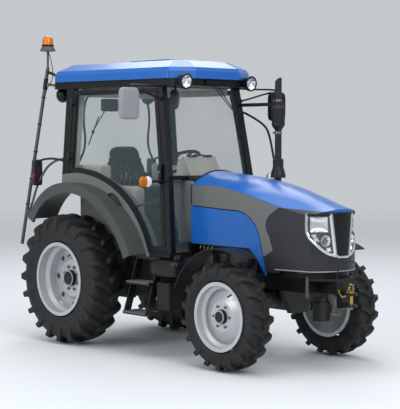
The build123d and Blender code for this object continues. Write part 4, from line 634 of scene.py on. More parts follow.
# %% [markdown]
# Each rim is bolted to a hub flange. Bolts, a black cap over the hub and a rubber valve are what one sees
# there, so they are turned parts set in a ring about the axle. The cap's black shows the wheel's middle
# from afar.

# %% Wheel bolts, hub caps and valves
def nut(centre, axis, radius, height):
    """A six-sided nut with a domed bolt end standing out of it."""
    hexagon = turned([(0, 0), (radius, 0), (radius, 0.8 * height), (0.85 * radius, height), (0, height)],
                     centre, axis, 6)
    stud = turned([(0.55 * radius, 0), (0.55 * radius, 1.5 * height), (0.4 * radius, 1.7 * height),
                   (0, 1.7 * height)], centre, axis, 16)
    return [hexagon, stud]


NUT_HEIGHT = 0.012
HUBS = {
    # bolts, bolt circle, bolt face out, cap radius, cap foot out, cap end out, nut radius
    "rear": (8, 0.104, 0.000, 0.068, 0.0, 0.046, 0.014),
    "front": (6, 0.088, 0.052, 0.052, 0.046, 0.088, 0.011),
}
for axle, (bolts, circle, face, cap, cap_foot, cap_end, nut_radius) in HUBS.items():
    radius, _, bead_half, bead_radius, _, _, axle_x, middle = WHEELS[axle]
    outward = (0, -1, 0)
    nuts = []
    for number in range(bolts):
        turn = (number + 0.5) * 2 * math.pi / bolts
        centre = (axle_x + circle * math.sin(turn), -middle - face, radius + circle * math.cos(turn))
        nuts += nut(centre, outward, nut_radius, NUT_HEIGHT)
    lid_line = [(cap + 0.004, cap_foot), (cap + 0.002, cap_end - 0.014), (cap - 0.010, cap_end),
                (0.55 * cap, cap_end + 0.004), (0.5 * cap, cap_end + 0.001), (0, cap_end + 0.001)]
    lid = turned(lid_line, (axle_x, -middle, radius), outward)
    stem_at = wheel_points(np.array([0.5]), bead_half - 0.045, bead_radius - 0.075, axle_x, radius, middle)[0]
    stem = tube(np.linspace(stem_at, stem_at + (-0.012, -0.035, -0.022), 6),
                [0.010, 0.007, 0.006, 0.006, 0.0065, 0.0065])
    for side, flip in (("right", lambda s: s), ("left", mirrored)):
        piece(f"{axle}_hub_trim_{side}", [
            (STEEL, [flip(s) for s in nuts]), (BLACK_ENAMEL, [flip(lid)]), (SEAL_RUBBER, [flip(stem)]),
        ], f"{axle}_wheel_{side}", sharp=30)

# %% [markdown]
# The nose is bent round a vertical arc and runs on into the straight hood sides. Everything on it follows
# one line: distance round the nose from its middle. A point of a lamp or a bar is that distance, a height
# and a depth below the skin, so flat drawings wrap round the corner by themselves.

# %% A line round the nose
NOSE_MIDDLE, NOSE_RADIUS, NOSE_BEND = along(2.315), 0.350, 0.829
SIDE_TAPER = math.atan(0.16)


def round_nose(distance, height, depth=0.0):
    """Points on the right half of the nose: an arc, then the straight side, moved inwards by the depth."""
    s, depth = np.asarray(distance, float), np.asarray(depth, float)
    bend = np.minimum(s / NOSE_RADIUS, NOSE_BEND)
    rest = np.maximum(0.0, s - NOSE_RADIUS * NOSE_BEND)
    facing = np.where(rest > 0, np.pi / 2 - SIDE_TAPER, bend)
    x = NOSE_MIDDLE + NOSE_RADIUS * np.cos(bend) - rest * np.cos(SIDE_TAPER) - depth * np.cos(facing)
    y = NOSE_RADIUS * np.sin(bend) + rest * np.sin(SIDE_TAPER) - depth * np.sin(facing)
    return np.stack(np.broadcast_arrays(x, -y, np.asarray(height, float)), axis=-1)


print("nose ends at", round_nose(0.0, 1.0)[0].round(3))

# %% [markdown]
# A headlamp of this class is one clear cover over a dark tray with bright reflectors: a broad fluted one
# for the main beam, a round projector under it and two small ones at the edges. A wide chrome strip
# frames the shield and runs on under the middle bar. The strips lie a little proud, so they hide the edge
# of the opening.

# %% Shapes of a headlamp
LAMP_EDGE = rounded([(0.060, 0.900), (0.130, 0.908), (0.205, 0.950), (0.272, 1.010), (0.336, 1.066),
                     (0.346, 1.150), (0.340, 1.244)], 4)
LAMP_ROWS = np.linspace(0.906, 1.242, 30)


def lamp_inner(height):
    """Inner edge of the lamp: a straight line that leans away from the middle with height."""
    return np.interp(height, [0.908, 1.241], [0.0623, 0.1077])


def lamp_patch(depth, inset=0.0, shares=20):
    """The lamp's area at a depth, row by row: shares of the way from its inner edge to its outer one."""
    rows = LAMP_ROWS[:, None]
    start = lamp_inner(rows) + inset
    end = np.maximum(start, np.interp(rows, LAMP_EDGE[:, 1], LAMP_EDGE[:, 0]) - inset)
    return round_nose(start + (end - start) * np.linspace(0, 1, shares), rows, depth)


def strip(line, width, lift=0.0035):
    """A chrome strip: its inner edge is moved square to the line by the width, and it arches over its
    middle."""
    line = np.asarray(line, float)
    t = unit(np.gradient(line, axis=0))
    side = np.stack([-t[:, 1], t[:, 0]], axis=1)
    share = np.linspace(0, 1, 7)
    at = line[:, None] + width * share[None, :, None] * side[:, None]
    depth = 0.006 - (0.006 + lift) * np.sin(np.pi * share)[None] ** 0.6
    return grid(round_nose(at[..., 0], at[..., 1], depth))


def reflector(near, far, low, top, slant=0.0, flutes=5):
    """A reflector between two distances and two heights: a bowl in its depth, with upright flutes across
    it."""
    u, v = np.linspace(-1, 1, 61)[:, None], np.linspace(-1, 1, 21)[None, :]
    depth = 0.010 + 0.026 * (1 - u ** 2) * (1 - v ** 4) + 0.0022 * np.abs(np.sin(flutes * np.pi / 2 * u))
    s = (near + far) / 2 + u * (far - near) / 2 + slant * v
    return grid(round_nose(s, (low + top) / 2 + v * (top - low) / 2, depth))


def projector(s, height, radius):
    """A round lamp that faces forward: a bright ring, a paraboloid cup and a domed lens."""
    middle, axis = round_nose(s, height, 0.020), (1, -0.25, 0)
    share = np.linspace(0, 1, 9)
    cup = turned(np.stack([radius * share, -0.030 * (1 - share ** 2)], axis=1), middle, axis)
    ring = turned([(radius, -0.010), (radius, 0.003), (radius + 0.006, 0.005), (radius + 0.009, -0.012)],
                  middle, axis)
    bow = share * np.pi / 2
    dome = turned(np.stack([0.8 * radius * np.cos(bow), 0.012 * np.sin(bow) - 0.012], axis=1), middle, axis)
    return [cup, ring], [dome]

# %% Headlamps
rim = lamp_patch(0.004)
tray = grid(np.concatenate([rim[:, :1], lamp_patch(0.042, 0.010), rim[:, -1:]], axis=1))
inner_line = np.stack([lamp_inner(LAMP_ROWS) - 0.002, LAMP_ROWS], axis=1)[::-1]
brow_line = np.stack([np.linspace(0.338, 0.104, 20), np.full(20, 1.243)], axis=1)
foot_line = np.stack([np.linspace(0.0, 0.064, 8), np.full(8, 0.892)], axis=1)
round_cup, round_lens = projector(0.163, 1.030, 0.037)
bright = [reflector(0.146, 0.296, 1.100, 1.214, 0.004, 9), reflector(0.232, 0.268, 1.026, 1.086, 0.016, 3),
          reflector(0.118, 0.158, 0.948, 0.982, 0.006, 3)]
piece("headlamp_units", [
    (CHROME, both(*bright, *round_cup, strip(LAMP_EDGE, 0.026), strip(inner_line, 0.032),
                  strip(foot_line, 0.024))),
    (BLACK_PLASTIC, both(tray, strip(brow_line, 0.020, 0.001))),
    (LAMP_COVER, both(grid(lamp_patch(0.003, 0.003)))),
    (LAMP_LENS, both(*round_lens)),
], "hood_body", stands_for=("headlamps",), sharp=50)

# %% [markdown]
# Between the lamps stands a plain dark bar, wider at its top, that follows the nose's bend. It could be
# bent from a flat strip, but the same line round the nose places it exactly between the lamps. A pale
# strip ends the nose's foot. Below it, on the frame, come a dark shroud in front of the radiator, two
# corner posts, a small hoop and the tow pin's chain, all pressed, bent or forged.

# %% Middle bar, foot strip, shroud, posts and hoop
share = np.linspace(-1, 1, 17)[None, :]
rows = np.linspace(0.918, 1.240, 24)[:, None]
bar_s = share * (lamp_inner(rows) - 0.003)
bar_out = 0.004 * (1 - share ** 8) + 0 * rows
bar_right = round_nose(np.abs(bar_s), rows, -bar_out)
bar = grid(bar_right * np.where(bar_s[..., None] > 0, (1, 1, 1), (1, -1, 1)))
piece("nose_bar", [(BLACK_PLASTIC, [bar])], "hood_body")

nose_foot = round_nose(np.linspace(0.0, 0.62, 60), 0.794, -0.001)
piece("nose_foot_strip", [(SHELL_PLASTIC, both(tube(nose_foot, 0.0045, 10)))], "hood_body")

around = np.linspace(0.0, 0.60, 50)[:, None]
shroud = grid(round_nose(around, np.linspace(0.736, 0.774, 5)[None], 0.045))
post_line = rounded([(-0.030, -0.080), (0.030, -0.080), (0.026, 0.095), (-0.026, 0.095)], 2, closed=True)
post_at = placed((2.492, -0.232, 0.660))
post = slab(post_line, post_at, (0.55, -0.835, 0), (0, 0, 1), -0.016, 0.003)
hoop = bent([(2.684, -0.100, 0.732), (2.712, -0.124, 0.790), (2.730, -0.112, 0.869), (2.730, 0.090, 0.869),
             (2.712, 0.100, 0.790), (2.684, 0.100, 0.732)], 3, 0.0055, 12, (1, 0, 0))
piece("radiator_guard", [
    (BLACK_PLASTIC, both(shroud)), (FENDER_PLASTIC, both(post)), (BLACK_ENAMEL, [hoop]),
], "chassis")

# %% Tow chain
LINKS = 15
hang = np.linspace(0, 1, LINKS)[:, None]
chain_from, chain_to = placed([(2.745, -0.016, 0.694), (2.692, -0.088, 0.650)])
sag = np.array([0, 0, 0.28]) * hang * (1 - hang)
chain_at = chain_from + hang * (chain_to - chain_from) - sag
chain_along = unit(np.gradient(chain_at, axis=0))
turn = np.linspace(0, 2 * np.pi, 16, endpoint=False)
links = []
for number in range(LINKS):
    side = unit(np.cross(chain_along[number], (0.2, 1.0, 0.1) if number % 2 else (1.0, 0.1, 0.2)))
    oval = np.outer(0.0085 * np.cos(turn), chain_along[number]) + np.outer(0.0055 * np.sin(turn), side)
    loop = chain_at[number] + np.concatenate([oval, oval[:1]])
    links.append(tube(loop, 0.0018, 8, np.cross(chain_along[number], side)))
ring_line = [(0.010, -0.004), (0.020, -0.004), (0.020, 0.004), (0.010, 0.004)]
ring = turned(ring_line, (along(2.745), 0, 0.694), (0, 0.3, 1), 24)
eye = turned([(0, 0), (0.010, 0), (0.010, 0.01), (0, 0.01)], chain_to - (0.004, 0, 0), (1, 0, 0), 6)
piece("tow_chain", [(YELLOW_ZINC, links + [ring, eye])], "chassis")

# %% [markdown]
# Mirrors hang on bent arms in front of the doors. A shell of moulded plastic holds a flat glass that
# looks back along the tractor. A box with a power below one for its corners has the right soft shape, and
# the arms are tubes on smoothed lines. Both shells are the same gray part, but the left one is made black:
# that black is painted shade, for the shadow its side lies in.

# %% Mirrors
MIRROR_AT = placed((1.090, -0.855, 2.104))
ROD_RADIUS = 0.0085
mirror_shell = soft_box(MIRROR_AT + (0.004, 0, 0), (0.030, 0.095, 0.130), 0.36, 24, 40)
glass_line = rounded([(-0.080, -0.115), (0.080, -0.115), (0.080, 0.115), (-0.080, 0.115)], 3, closed=True)
mirror_glass = slab(glass_line, MIRROR_AT + (-0.0265, 0, 0), (0, 1, 0), (0, 0, -1), 0.004, 0.001)
clamp_line = [(0, -0.05), (0.014, -0.05), (0.016, -0.045), (0.016, 0.045), (0.014, 0.05), (0, 0.05)]
mirror_clamp = turned(clamp_line, MIRROR_AT + (-0.002, 0, 0.105), (0, 0, 1), 24)
upper_rod = bent([(1.050, -0.435, 2.256), (1.060, -0.560, 2.252), (1.088, -0.790, 2.256),
                  (1.088, -0.855, 2.250), (1.088, -0.855, 2.190)], 3, ROD_RADIUS, 14, (1, 0, 0.2))
lower_rod = bent([(1.030, -0.437, 2.148), (1.045, -0.500, 2.154), (1.075, -0.680, 2.205),
                  (1.088, -0.800, 2.232), (1.088, -0.850, 2.222)], 3, ROD_RADIUS)
boot_line = [(0, -0.03), (0.022, -0.03), (0.020, 0.0), (0.013, 0.025), (0, 0.025)]
boot = turned(boot_line, placed((1.036, -0.452, 2.149)), (0.1, -1, 0.05), 24)
piece("mirror_set", [
    (SHELL_PLASTIC, [mirror_shell]),
    # Painted shade: the left shell is the same gray part as the right one, made black for the shadow it lies
    # in.
    (BLACK_PLASTIC, [mirrored(mirror_shell)] + both(mirror_clamp, boot)),
    (CHROME, both(mirror_glass)),
    (BLACK_ENAMEL, both(upper_rod, lower_rod)),
], "chassis", stands_for=("mirrors",), sharp=45)

# %% [markdown]
# Road lamps: in front, oval lamps on short arms, with an amber outer half and a white inner one. Behind, an
# upright charcoal case on an arched arm, with a red lens over an amber one and a round red reflector on its
# outer side. Each lens stands a little proud.

# %% Indicators and tail lamps
INDICATOR_AT = placed((1.153, -0.740, 1.465))
lamp_case = soft_box(INDICATOR_AT, (0.019, 0.070, 0.051), 0.80, 20, 36)
amber_half = soft_box(INDICATOR_AT + (0.010, -0.021, 0), (0.021, 0.047, 0.046), 0.90, 20, 36)
white_half = soft_box(INDICATOR_AT + (0.009, 0.022, 0), (0.018, 0.046, 0.045), 0.90, 20, 36)
back_half = soft_box(INDICATOR_AT + (-0.010, -0.010, 0), (0.016, 0.044, 0.036), 0.70, 18, 32)
lamp_arm = bent([(1.150, -0.475, 1.465), (1.152, -0.600, 1.466), (1.153, -0.740, 1.465)], 2, 0.009)
TAIL_AT = placed((-0.445, -0.680, 1.510))
tail_case = soft_box(TAIL_AT, (0.022, 0.048, 0.118), 0.25, 22, 36)
side_disc = turned([(0, 0.007), (0.014, 0.006), (0.021, 0.003), (0.023, -0.004)],
                   TAIL_AT + (0, -0.046, -0.030), (0, -1, 0), 32)
red_lens = soft_box(TAIL_AT + (-0.017, 0, 0.050), (0.012, 0.039, 0.050), 0.3, 18, 32)
amber_lens = soft_box(TAIL_AT + (-0.017, 0, -0.056), (0.012, 0.039, 0.048), 0.3, 18, 32)
tail_arm = bent([(-0.085, -0.620, 1.605), (-0.157, -0.635, 1.634), (-0.300, -0.660, 1.640),
                 (-0.420, -0.680, 1.618), (-0.444, -0.680, 1.560)], 3, 0.010, 14, (0.2, 1, 0.1))
piece("road_lamps", [
    (BLACK_PLASTIC, both(lamp_case)),
    (NOSE_PLASTIC, both(tail_case)),
    (AMBER_LENS, both(amber_half, back_half, amber_lens)),
    (WHITE_LENS, both(white_half)),
    (RED_LENS, both(red_lens, side_disc)),
    (BLACK_ENAMEL, both(lamp_arm, tail_arm)),
], "chassis", stands_for=("signal_lamps",), sharp=45)

# %% [markdown]
# Work lamps look forward and back under the roof's edge. Each is a black bowl with a bright reflector, a
# bulb and a clear front, held by a bracket under the liner. All four are the same turned parts at four
# places.

# %% Work lamps
CUP_LINE = [(0, -0.045), (0.032, -0.042), (0.052, -0.022), (0.064, 0.010), (0.067, 0.030), (0.066, 0.038),
            (0.056, 0.041), (0.0525, 0.034)]
BULB_LINE = [(0.007, 0.000), (0.007, 0.020), (0.004, 0.025), (0, 0.026)]
DISH_RADIUS, LINER_Z = 0.0525, 2.275
share = np.linspace(0, 1, 9)
dish_line = np.stack([DISH_RADIUS * share, -0.002 + 0.036 * share ** 2], axis=1)
front_line = np.stack([DISH_RADIUS * share, 0.040 - 0.004 * share ** 2], axis=1)
cups, dishes, fronts = [], [], []
for at, y, z, facing in ((1.224, 0.374, 2.294, 1), (-0.262, 0.500, 2.212, -1)):
    middle, axis = (along(at), -y, z), (facing, 0, -0.08)
    stay = [(along(at - 0.02 * facing), -y, z + 0.02), (along(at - 0.03 * facing), -y, LINER_Z)]
    cups += [turned(CUP_LINE, middle, axis, 48), tube(np.linspace(*stay, 4), 0.014, 12, (0, 1, 0))]
    dishes += [turned(dish_line, middle, axis, 48), turned(BULB_LINE, middle, axis, 16)]
    fronts += [turned(front_line, middle, axis, 48)]
piece("work_lamp_units", [
    (BLACK_PLASTIC, both(*cups)), (CHROME, both(*dishes)), (LAMP_COVER, both(*fronts)),
], "chassis", stands_for=("work_lamps",), sharp=50)

# %% [markdown]
# Wipers and grab rails are bent rod and pressed strip. The front wiper hangs from the front edge of the
# roof liner on a pair of thin rods, and its rubber blade lies on the glass. The windscreen leans back, so
# the blade is set out along the glass's own slope. The rear window opens on a bent, waisted frame that
# lies on its glass, and carries its own wiper and a grip. A small round fan hangs inside the windscreen.

# %% Front wiper and grab rails
SCREEN_FOOT, SCREEN_TOP = (1.138, 1.490), (1.006, 2.260)
GLASS_FRONT = 1.143


def on_screen(across, height, lift):
    """A point in front of the windscreen: its length follows the glass's lean, and the lift is forward
    of it."""
    lean = (SCREEN_TOP[0] - SCREEN_FOOT[0]) / (SCREEN_TOP[1] - SCREEN_FOOT[1])
    return np.array([along(GLASS_FRONT + lean * (height - SCREEN_FOOT[1])) + lift, across, height])


wiper_box = soft_box((along(1.206), -0.052, 2.296), (0.014, 0.060, 0.020), 0.35)
wiper_rods = []
for y in (-0.078, -0.028):
    rod_line = [(along(1.216), y, 2.298), (along(1.214), y + 0.060, 2.250),
                on_screen(0.372 + 0.2 * y, 2.040, 0.022)]
    wiper_rods += [tube(rounded(rod_line, 3), 0.0042, 10)]
wiper_knee = soft_box(on_screen(0.364, 2.036, 0.018), (0.012, 0.014, 0.024), 0.4, 12, 20)
blade_ends = on_screen(0.338, 2.190, 0.008), on_screen(0.402, 1.800, 0.008)
wiper_blade = tube(np.linspace(*blade_ends, 16), 0.006, 8, (1, 0, 0))
left_rail = bent([(1.052, 0.445, 2.050), (1.085, 0.474, 2.044), (1.317, 0.480, 1.939), (1.376, 0.480, 1.855),
                  (1.438, 0.474, 1.640), (1.488, 0.446, 1.560)], 3, 0.010)
right_rail = bent([(1.010, -0.404, 1.930), (0.960, -0.380, 1.925), (0.985, -0.378, 1.680),
                   (1.020, -0.380, 1.430), (1.105, -0.420, 1.410)], 3, 0.011)
arch_grip = bent([(0.500, -0.578, 1.318), (0.500, -0.605, 1.335), (0.555, -0.600, 1.350),
                  (0.648, -0.596, 1.252), (0.636, -0.570, 1.232)], 2, 0.009)
print("front wiper's blade:", np.linalg.norm(np.subtract(*blade_ends)).round(3), "m")

# %% Rear window's frame and wiper, and the fan
REAR_GLASS = along(-0.119)
frame_right = rounded([(0.00, 2.206), (-0.300, 2.206), (-0.360, 2.190), (-0.396, 2.010), (-0.357, 1.750),
                       (-0.460, 1.575), (-0.470, 1.550)], 2)
frame_path = np.stack([np.full(len(frame_right), REAR_GLASS - 0.010), *frame_right.T], axis=1)
frame_tubes = [tube(frame_path * (1, hand, 1), 0.0105, 12, (1, 0, 0)) for hand in (1, -1)]
motor = soft_box((REAR_GLASS - 0.032, -0.070, 2.125), (0.030, 0.085, 0.058), 0.22)
arm_ends = (REAR_GLASS - 0.050, -0.100, 2.090), (REAR_GLASS - 0.016, -0.280, 1.880)
rear_arm = tube(np.linspace(*arm_ends, 8), 0.005)
blade_ends = (REAR_GLASS - 0.008, -0.215, 2.020), (REAR_GLASS - 0.008, -0.335, 1.760)
rear_blade = tube(np.linspace(*blade_ends, 10), 0.006, 8)
rear_knee = soft_box((REAR_GLASS - 0.012, -0.280, 1.880), (0.010, 0.012, 0.016), 0.4, 12, 20)
grip_line = [(REAR_GLASS, -0.060, 1.560), (REAR_GLASS - 0.045, -0.060, 1.560),
             (REAR_GLASS - 0.045, 0.060, 1.560), (REAR_GLASS, 0.060, 1.560)]
grip = tube(rounded(grip_line, 2), 0.009)
FAN_AT = placed((0.950, -0.235, 2.150))
fan = turned([(0, -0.030), (0.060, -0.030), (0.082, -0.018), (0.086, 0.0), (0.086, 0.020), (0.080, 0.026),
              (0.030, 0.028), (0, 0.034)], FAN_AT, (-0.8, -0.6, 0), 44)
fan_stay = tube(rounded([FAN_AT + (0.01, 0, 0.075), FAN_AT + (0.012, -0.004, 0.112)], 1),
                0.012, 14, (1, 0, 0))
piece("wipers_and_rails", [
    (BLACK_PLASTIC, [wiper_box, wiper_knee, motor, rear_knee, fan, fan_stay]),
    (BLACK_ENAMEL, wiper_rods + frame_tubes + [left_rail, right_rail, rear_arm, grip] + both(arch_grip)),
    (SEAL_RUBBER, [wiper_blade, rear_blade]),
], "chassis")

# %% [markdown]
# The seat is foam under black vinyl: a cushion and a back, each with sewn channels that pull the cover
# down. A cloth that is blown up by a little pressure gives the fullness that foam has, and a hand-made
# bulge would not. The start shape is a soft box a little smaller than the pad, remeshed to even cells.
# The channels are pressed in last, so that they stay crisp.

# %% Seat pads by pressure in a cloth
CELL, CLOTH_FRAMES, MOST_BULGE = 0.007, 12, 0.010


def sewn_pad(name, surface, channels, node):
    """A pad: the surface is remeshed and blown up as a cloth, no point by more than the most bulge, and each
    channel then presses points inwards by a bell curve of their distance from it."""
    points, quads = surface
    mesh = bpy.data.meshes.new(name)
    mesh.from_pydata(points.tolist(), [], quads.tolist())
    obj = bpy.data.objects.new(name, mesh)
    scene.collection.objects.link(obj)
    bpy.context.view_layer.objects.active = obj
    remesh = obj.modifiers.new("even_cells", "REMESH")
    remesh.mode = "VOXEL"
    remesh.voxel_size = CELL
    bpy.ops.object.modifier_apply(modifier=remesh.name)
    mesh = obj.data
    co = np.empty(len(mesh.vertices) * 3)
    mesh.vertices.foreach_get("co", co)
    co = co.reshape(-1, 3)
    cloth = obj.modifiers.new("cover", "CLOTH")
    cloth.settings.use_pressure = True
    cloth.settings.uniform_pressure_force = 3.0
    cloth.settings.quality = 4
    cloth.settings.tension_stiffness = 25
    cloth.settings.effector_weights.gravity = 0.0
    cloth.point_cache.frame_end = CLOTH_FRAMES
    for number in range(1, CLOTH_FRAMES + 1):
        scene.frame_set(number)
    shaped = obj.evaluated_get(bpy.context.evaluated_depsgraph_get()).to_mesh()
    blown = np.empty(len(mesh.vertices) * 3)
    shaped.vertices.foreach_get("co", blown)
    move = blown.reshape(-1, 3) - co
    size = np.linalg.norm(move, axis=1, keepdims=True)
    co = co + move * np.minimum(1.0, MOST_BULGE / np.maximum(size, 1e-9))
    obj.modifiers.clear()
    scene.frame_set(1)
    normals = np.empty(len(mesh.vertices) * 3)
    mesh.vertices.foreach_get("normal", normals)
    press = np.zeros(len(co))
    for where, wide, deep in channels:
        press = np.maximum(press, deep * np.exp(-(where(co) / wide) ** 2))
    co = co - normals.reshape(-1, 3) * press[:, None]
    mesh.vertices.foreach_set("co", co.reshape(-1))
    mesh.polygons.foreach_set("use_smooth", np.ones(len(mesh.polygons), bool))
    soft = obj.modifiers.new("soft", "SUBSURF")
    soft.levels = soft.render_levels = 1
    bpy.ops.object.modifier_apply(modifier=soft.name)
    obj.data.materials.append(SEAT_VINYL)
    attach(obj, "chassis")
    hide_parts(node)
    print(f"{name}: {len(obj.data.polygons)} faces, channels {len(channels)}")

# %% [markdown]
# A channel is a distance to a line, with a width and a depth. The cushion has two long seams and a row of
# cross seams between them. The back narrows to its top; upright seams fill its lower half, and slanted
# ones leave them.

# %% Cushion and back
SEAT_X = along(0.185)
SEAM_OUT, SEAM_PITCH = 0.150, 0.09
SEAM_TOP, SEAM_SLANT = 1.600, 0.45


def cross_seams(p):
    """Distance to the nearest cross seam of the cushion; beyond the long seams it is far away."""
    ahead = np.mod(p[:, 0] - SEAT_X + 0.5 * SEAM_PITCH, SEAM_PITCH) - 0.5 * SEAM_PITCH
    return np.where(np.abs(p[:, 1]) < SEAM_OUT, np.abs(ahead), 1.0)


def upright_seam(p, out):
    """Distance to a pair of upright seams of the back; above their top it is far away."""
    return np.where(p[:, 2] < SEAM_TOP, 0.0, 1.0) + np.abs(np.abs(p[:, 1]) - out)


def slanted_seam(p, out, height):
    """Distance to a pair of seams that leave an upright one at a height and rise outwards."""
    y = np.abs(p[:, 1])
    return np.where(y > out, np.abs(p[:, 2] - height - SEAM_SLANT * (y - out)), 1.0)


cushion = soft_box((SEAT_X, 0, 1.342), (0.176, 0.232, 0.044), 0.30, 26, 48)
sewn_pad("seat_cushion_pad", cushion, [
    (lambda p: np.abs(np.abs(p[:, 1]) - SEAM_OUT), 0.010, 0.012), (cross_seams, 0.008, 0.009),
], "seat_cushion")
lean = math.atan2(0.092, 0.365)
back_axes = np.array([[math.cos(lean), 0, math.sin(lean)], [0, 1, 0], [-math.sin(lean), 0, math.cos(lean)]])
BACK_AT = placed((0.004, 0, 1.560))
back_points, back_quads = soft_box(BACK_AT, (0.036, 0.212, 0.190), 0.30, 26, 48, back_axes)
back_points[:, 1] *= 1 - 0.34 * np.clip((back_points[:, 2] - 1.500) / 0.25, 0, 1) ** 1.3
sewn_pad("seat_back_pad", (back_points, back_quads), [
    (lambda p: upright_seam(p, 0.045), 0.009, 0.010),
    (lambda p: upright_seam(p, 0.095), 0.009, 0.010),
    (lambda p: slanted_seam(p, 0.045, SEAM_TOP), 0.009, 0.014),
    (lambda p: slanted_seam(p, 0.095, SEAM_TOP - 0.040), 0.009, 0.014),
], "seat_back")

# %% [markdown]
# Under the pads are a pressed pan and a rubber bellows with folds, because such a seat is sprung. The
# bellows' section is a square with round corners, and a wave in its size makes the folds.

# %% Bellows and seat frame
turn = np.linspace(0, 2 * np.pi, 64, endpoint=False)
fold = np.linspace(0, 1, 49)[:, None]
FOLDS = 6
swell = 1 + 0.035 * np.cos(2 * np.pi * FOLDS * fold)
square = lambda c: np.sign(c) * np.abs(c) ** 0.45
bellows_x = SEAT_X + 0.150 * swell * square(np.cos(turn))
bellows_y = 0.178 * swell * square(np.sin(turn))
bellows_points = np.broadcast_arrays(bellows_x, bellows_y, 1.004 + 0.240 * fold)
bellows = grid(np.stack(bellows_points, axis=-1), wrap_v=True)
pan = soft_box((SEAT_X - 0.005, 0, 1.266), (0.172, 0.205, 0.024), 0.22)
plate = soft_box((SEAT_X, 0, 1.012), (0.160, 0.190, 0.012), 0.15)
back_shell = soft_box(BACK_AT + (-0.018, 0, -0.060), (0.022, 0.180, 0.125), 0.25, 22, 40, back_axes)
piece("seat_frame", [
    (SEAL_RUBBER, [bellows]), (BLACK_PLASTIC, [pan, back_shell]), (BLACK_ENAMEL, [plate]),
], "chassis", stands_for=("seat_base",), sharp=50)

# %% [markdown]
# Beside the seat stand pale consoles with levers. A console is a pair of soft boxes on the wheel arch's
# inner wall, a third box covers the arch behind it, and a fourth joins the two. A lever is a bent rod
# with a moulded grip, and the levers stand in a dark gate.

# %% Consoles and levers
GATE_Z = 1.400
console = soft_box(placed((0.300, -0.352, 1.275)), (0.330, 0.062, 0.130), 0.22)
console_low = soft_box(placed((0.360, -0.355, 1.080)), (0.260, 0.056, 0.085), 0.2)
arch_cover = soft_box(placed((0.085, -0.450, 1.490)), (0.185, 0.070, 0.095), 0.18)
console_joint = soft_box(placed((0.120, -0.410, 1.380)), (0.150, 0.050, 0.060), 0.2)
gate = soft_box(placed((0.420, -0.350, 1.402)), (0.120, 0.036, 0.010), 0.3)


def lever(foot, top, grip):
    """A bent rod from its foot to its top, with a pear-shaped grip."""
    foot, top = placed(foot), placed(top)
    rod = tube(rounded([foot, 0.6 * foot + 0.4 * top + (0.012, 0, 0), top], 2), 0.006)
    knob_line = [(0, -0.03), (0.010, -0.03), (0.014, 0.0), (grip, 0.018), (0.6 * grip, 0.034), (0, 0.038)]
    return rod, turned(knob_line, top, top - foot, 24)


levers = [lever((at, -0.350, GATE_Z), (at + 0.03, -0.345 - tilt, GATE_Z + tall), 0.019)
          for at, tilt, tall in ((0.340, 0.012, 0.135), (0.400, -0.006, 0.150), (0.470, 0.008, 0.125))]
levers += [lever((at, 0.350, GATE_Z), (at + 0.04, 0.340, GATE_Z + tall), 0.021)
           for at, tall in ((0.380, 0.17), (0.480, 0.14))]
piece("side_consoles", [
    (CABIN_PLASTIC, both(console, console_low, arch_cover, console_joint)),
    (BLACK_PLASTIC, both(gate) + [knob for _, knob in levers]),
    (STEEL, [rod for rod, _ in levers]),
], "chassis", sharp=50)

# %% [markdown]
# The dash needs an instrument panel behind the wheel: a dark sloping face with three dials and, beside
# it, two short rows of switches. Under it are the steering column's boot and the pedals. No figures are
# drawn, so the dials stay plain discs with rings.

# %% Dash instruments, column boot and pedals
DASH_NORMAL = unit((-0.70, 0, 0.72))
DASH_UP = np.cross((0, 1, 0), -DASH_NORMAL)
PANEL_MIDDLE = placed((0.945, 0, 1.652))
COLUMN_AXIS, COLUMN_HEAD = np.array([0.5, 0, -0.866]), placed((0.740, 0, 1.612))


def on_panel(across, up, out):
    """A point of the instrument panel: across the tractor, up its slope and out of its face."""
    return PANEL_MIDDLE + across * np.array([0, 1, 0]) + up * DASH_UP + out * DASH_NORMAL


panel_line = rounded([(-0.150, -0.040), (0.150, -0.040), (0.140, 0.042), (-0.140, 0.042)], 3, closed=True)
panel = slab(panel_line, on_panel(0, 0, -0.006), (0, 1, 0), DASH_UP, -0.012, 0.003)
dial_rings, dial_faces = [], []
for across, radius in ((-0.085, 0.030), (0.0, 0.036), (0.085, 0.030)):
    ring_line = [(radius, 0), (radius, 0.008), (radius - 0.003, 0.009), (radius - 0.004, 0.004)]
    dial_rings += [turned(ring_line, on_panel(across, 0, 0.004), DASH_NORMAL, 40)]
    dial_faces += [turned([(0, 0.004), (radius - 0.003, 0.004)], on_panel(across, 0, 0.004), DASH_NORMAL, 40)]
switches = [soft_box(placed((1.010, -0.120 + 0.035 * n, 1.668)), (0.014, 0.012, 0.008), 0.3, 12, 20)
            for n in range(3)]
down = np.linspace(0, 1, 25)
boot_radius = 0.040 + 0.018 * down + 0.004 * np.cos(2 * np.pi * 7 * down)
boot = turned(np.stack([boot_radius, 0.085 + 0.11 * down], axis=1), COLUMN_HEAD, COLUMN_AXIS, 40)
horn = turned([(0, 0.016), (0.026, 0.014), (0.034, 0.006), (0.036, 0.0)], COLUMN_HEAD, -COLUMN_AXIS, 40)
pedals = []
for y in (-0.170, -0.100, 0.150):
    pedals += [soft_box((along(0.850), y, 1.000), (0.012, 0.036, 0.045), 0.25, 16, 28),
               bent([(0.855, y, 1.000), (0.930, y, 1.030), (0.985, y, 1.110)], 2, 0.009)]
piece("dash_fittings", [
    (BLACK_PLASTIC, [panel, horn] + both(*switches)), (CHROME, dial_rings),
    (SEAL_RUBBER, dial_faces + [boot]), (BLACK_ENAMEL, pedals),
], "chassis", sharp=45)

# %% [markdown]
# The cab is lined with pale moulded panels: one under the roof, one over the rear window, one over the
# left door and a strip up the front face of each rear pillar. Gray panels close the foot well beside the
# dash. All are thin slabs with soft edges that lie on the steel they cover.

# %% Pale linings of the cab
def lining(outline, cut, origin, u, v, depth, edge):
    """A panel from an outline whose corners are softened by the cut."""
    return slab(cornered(outline, cut), placed(origin), u, v, depth, edge)


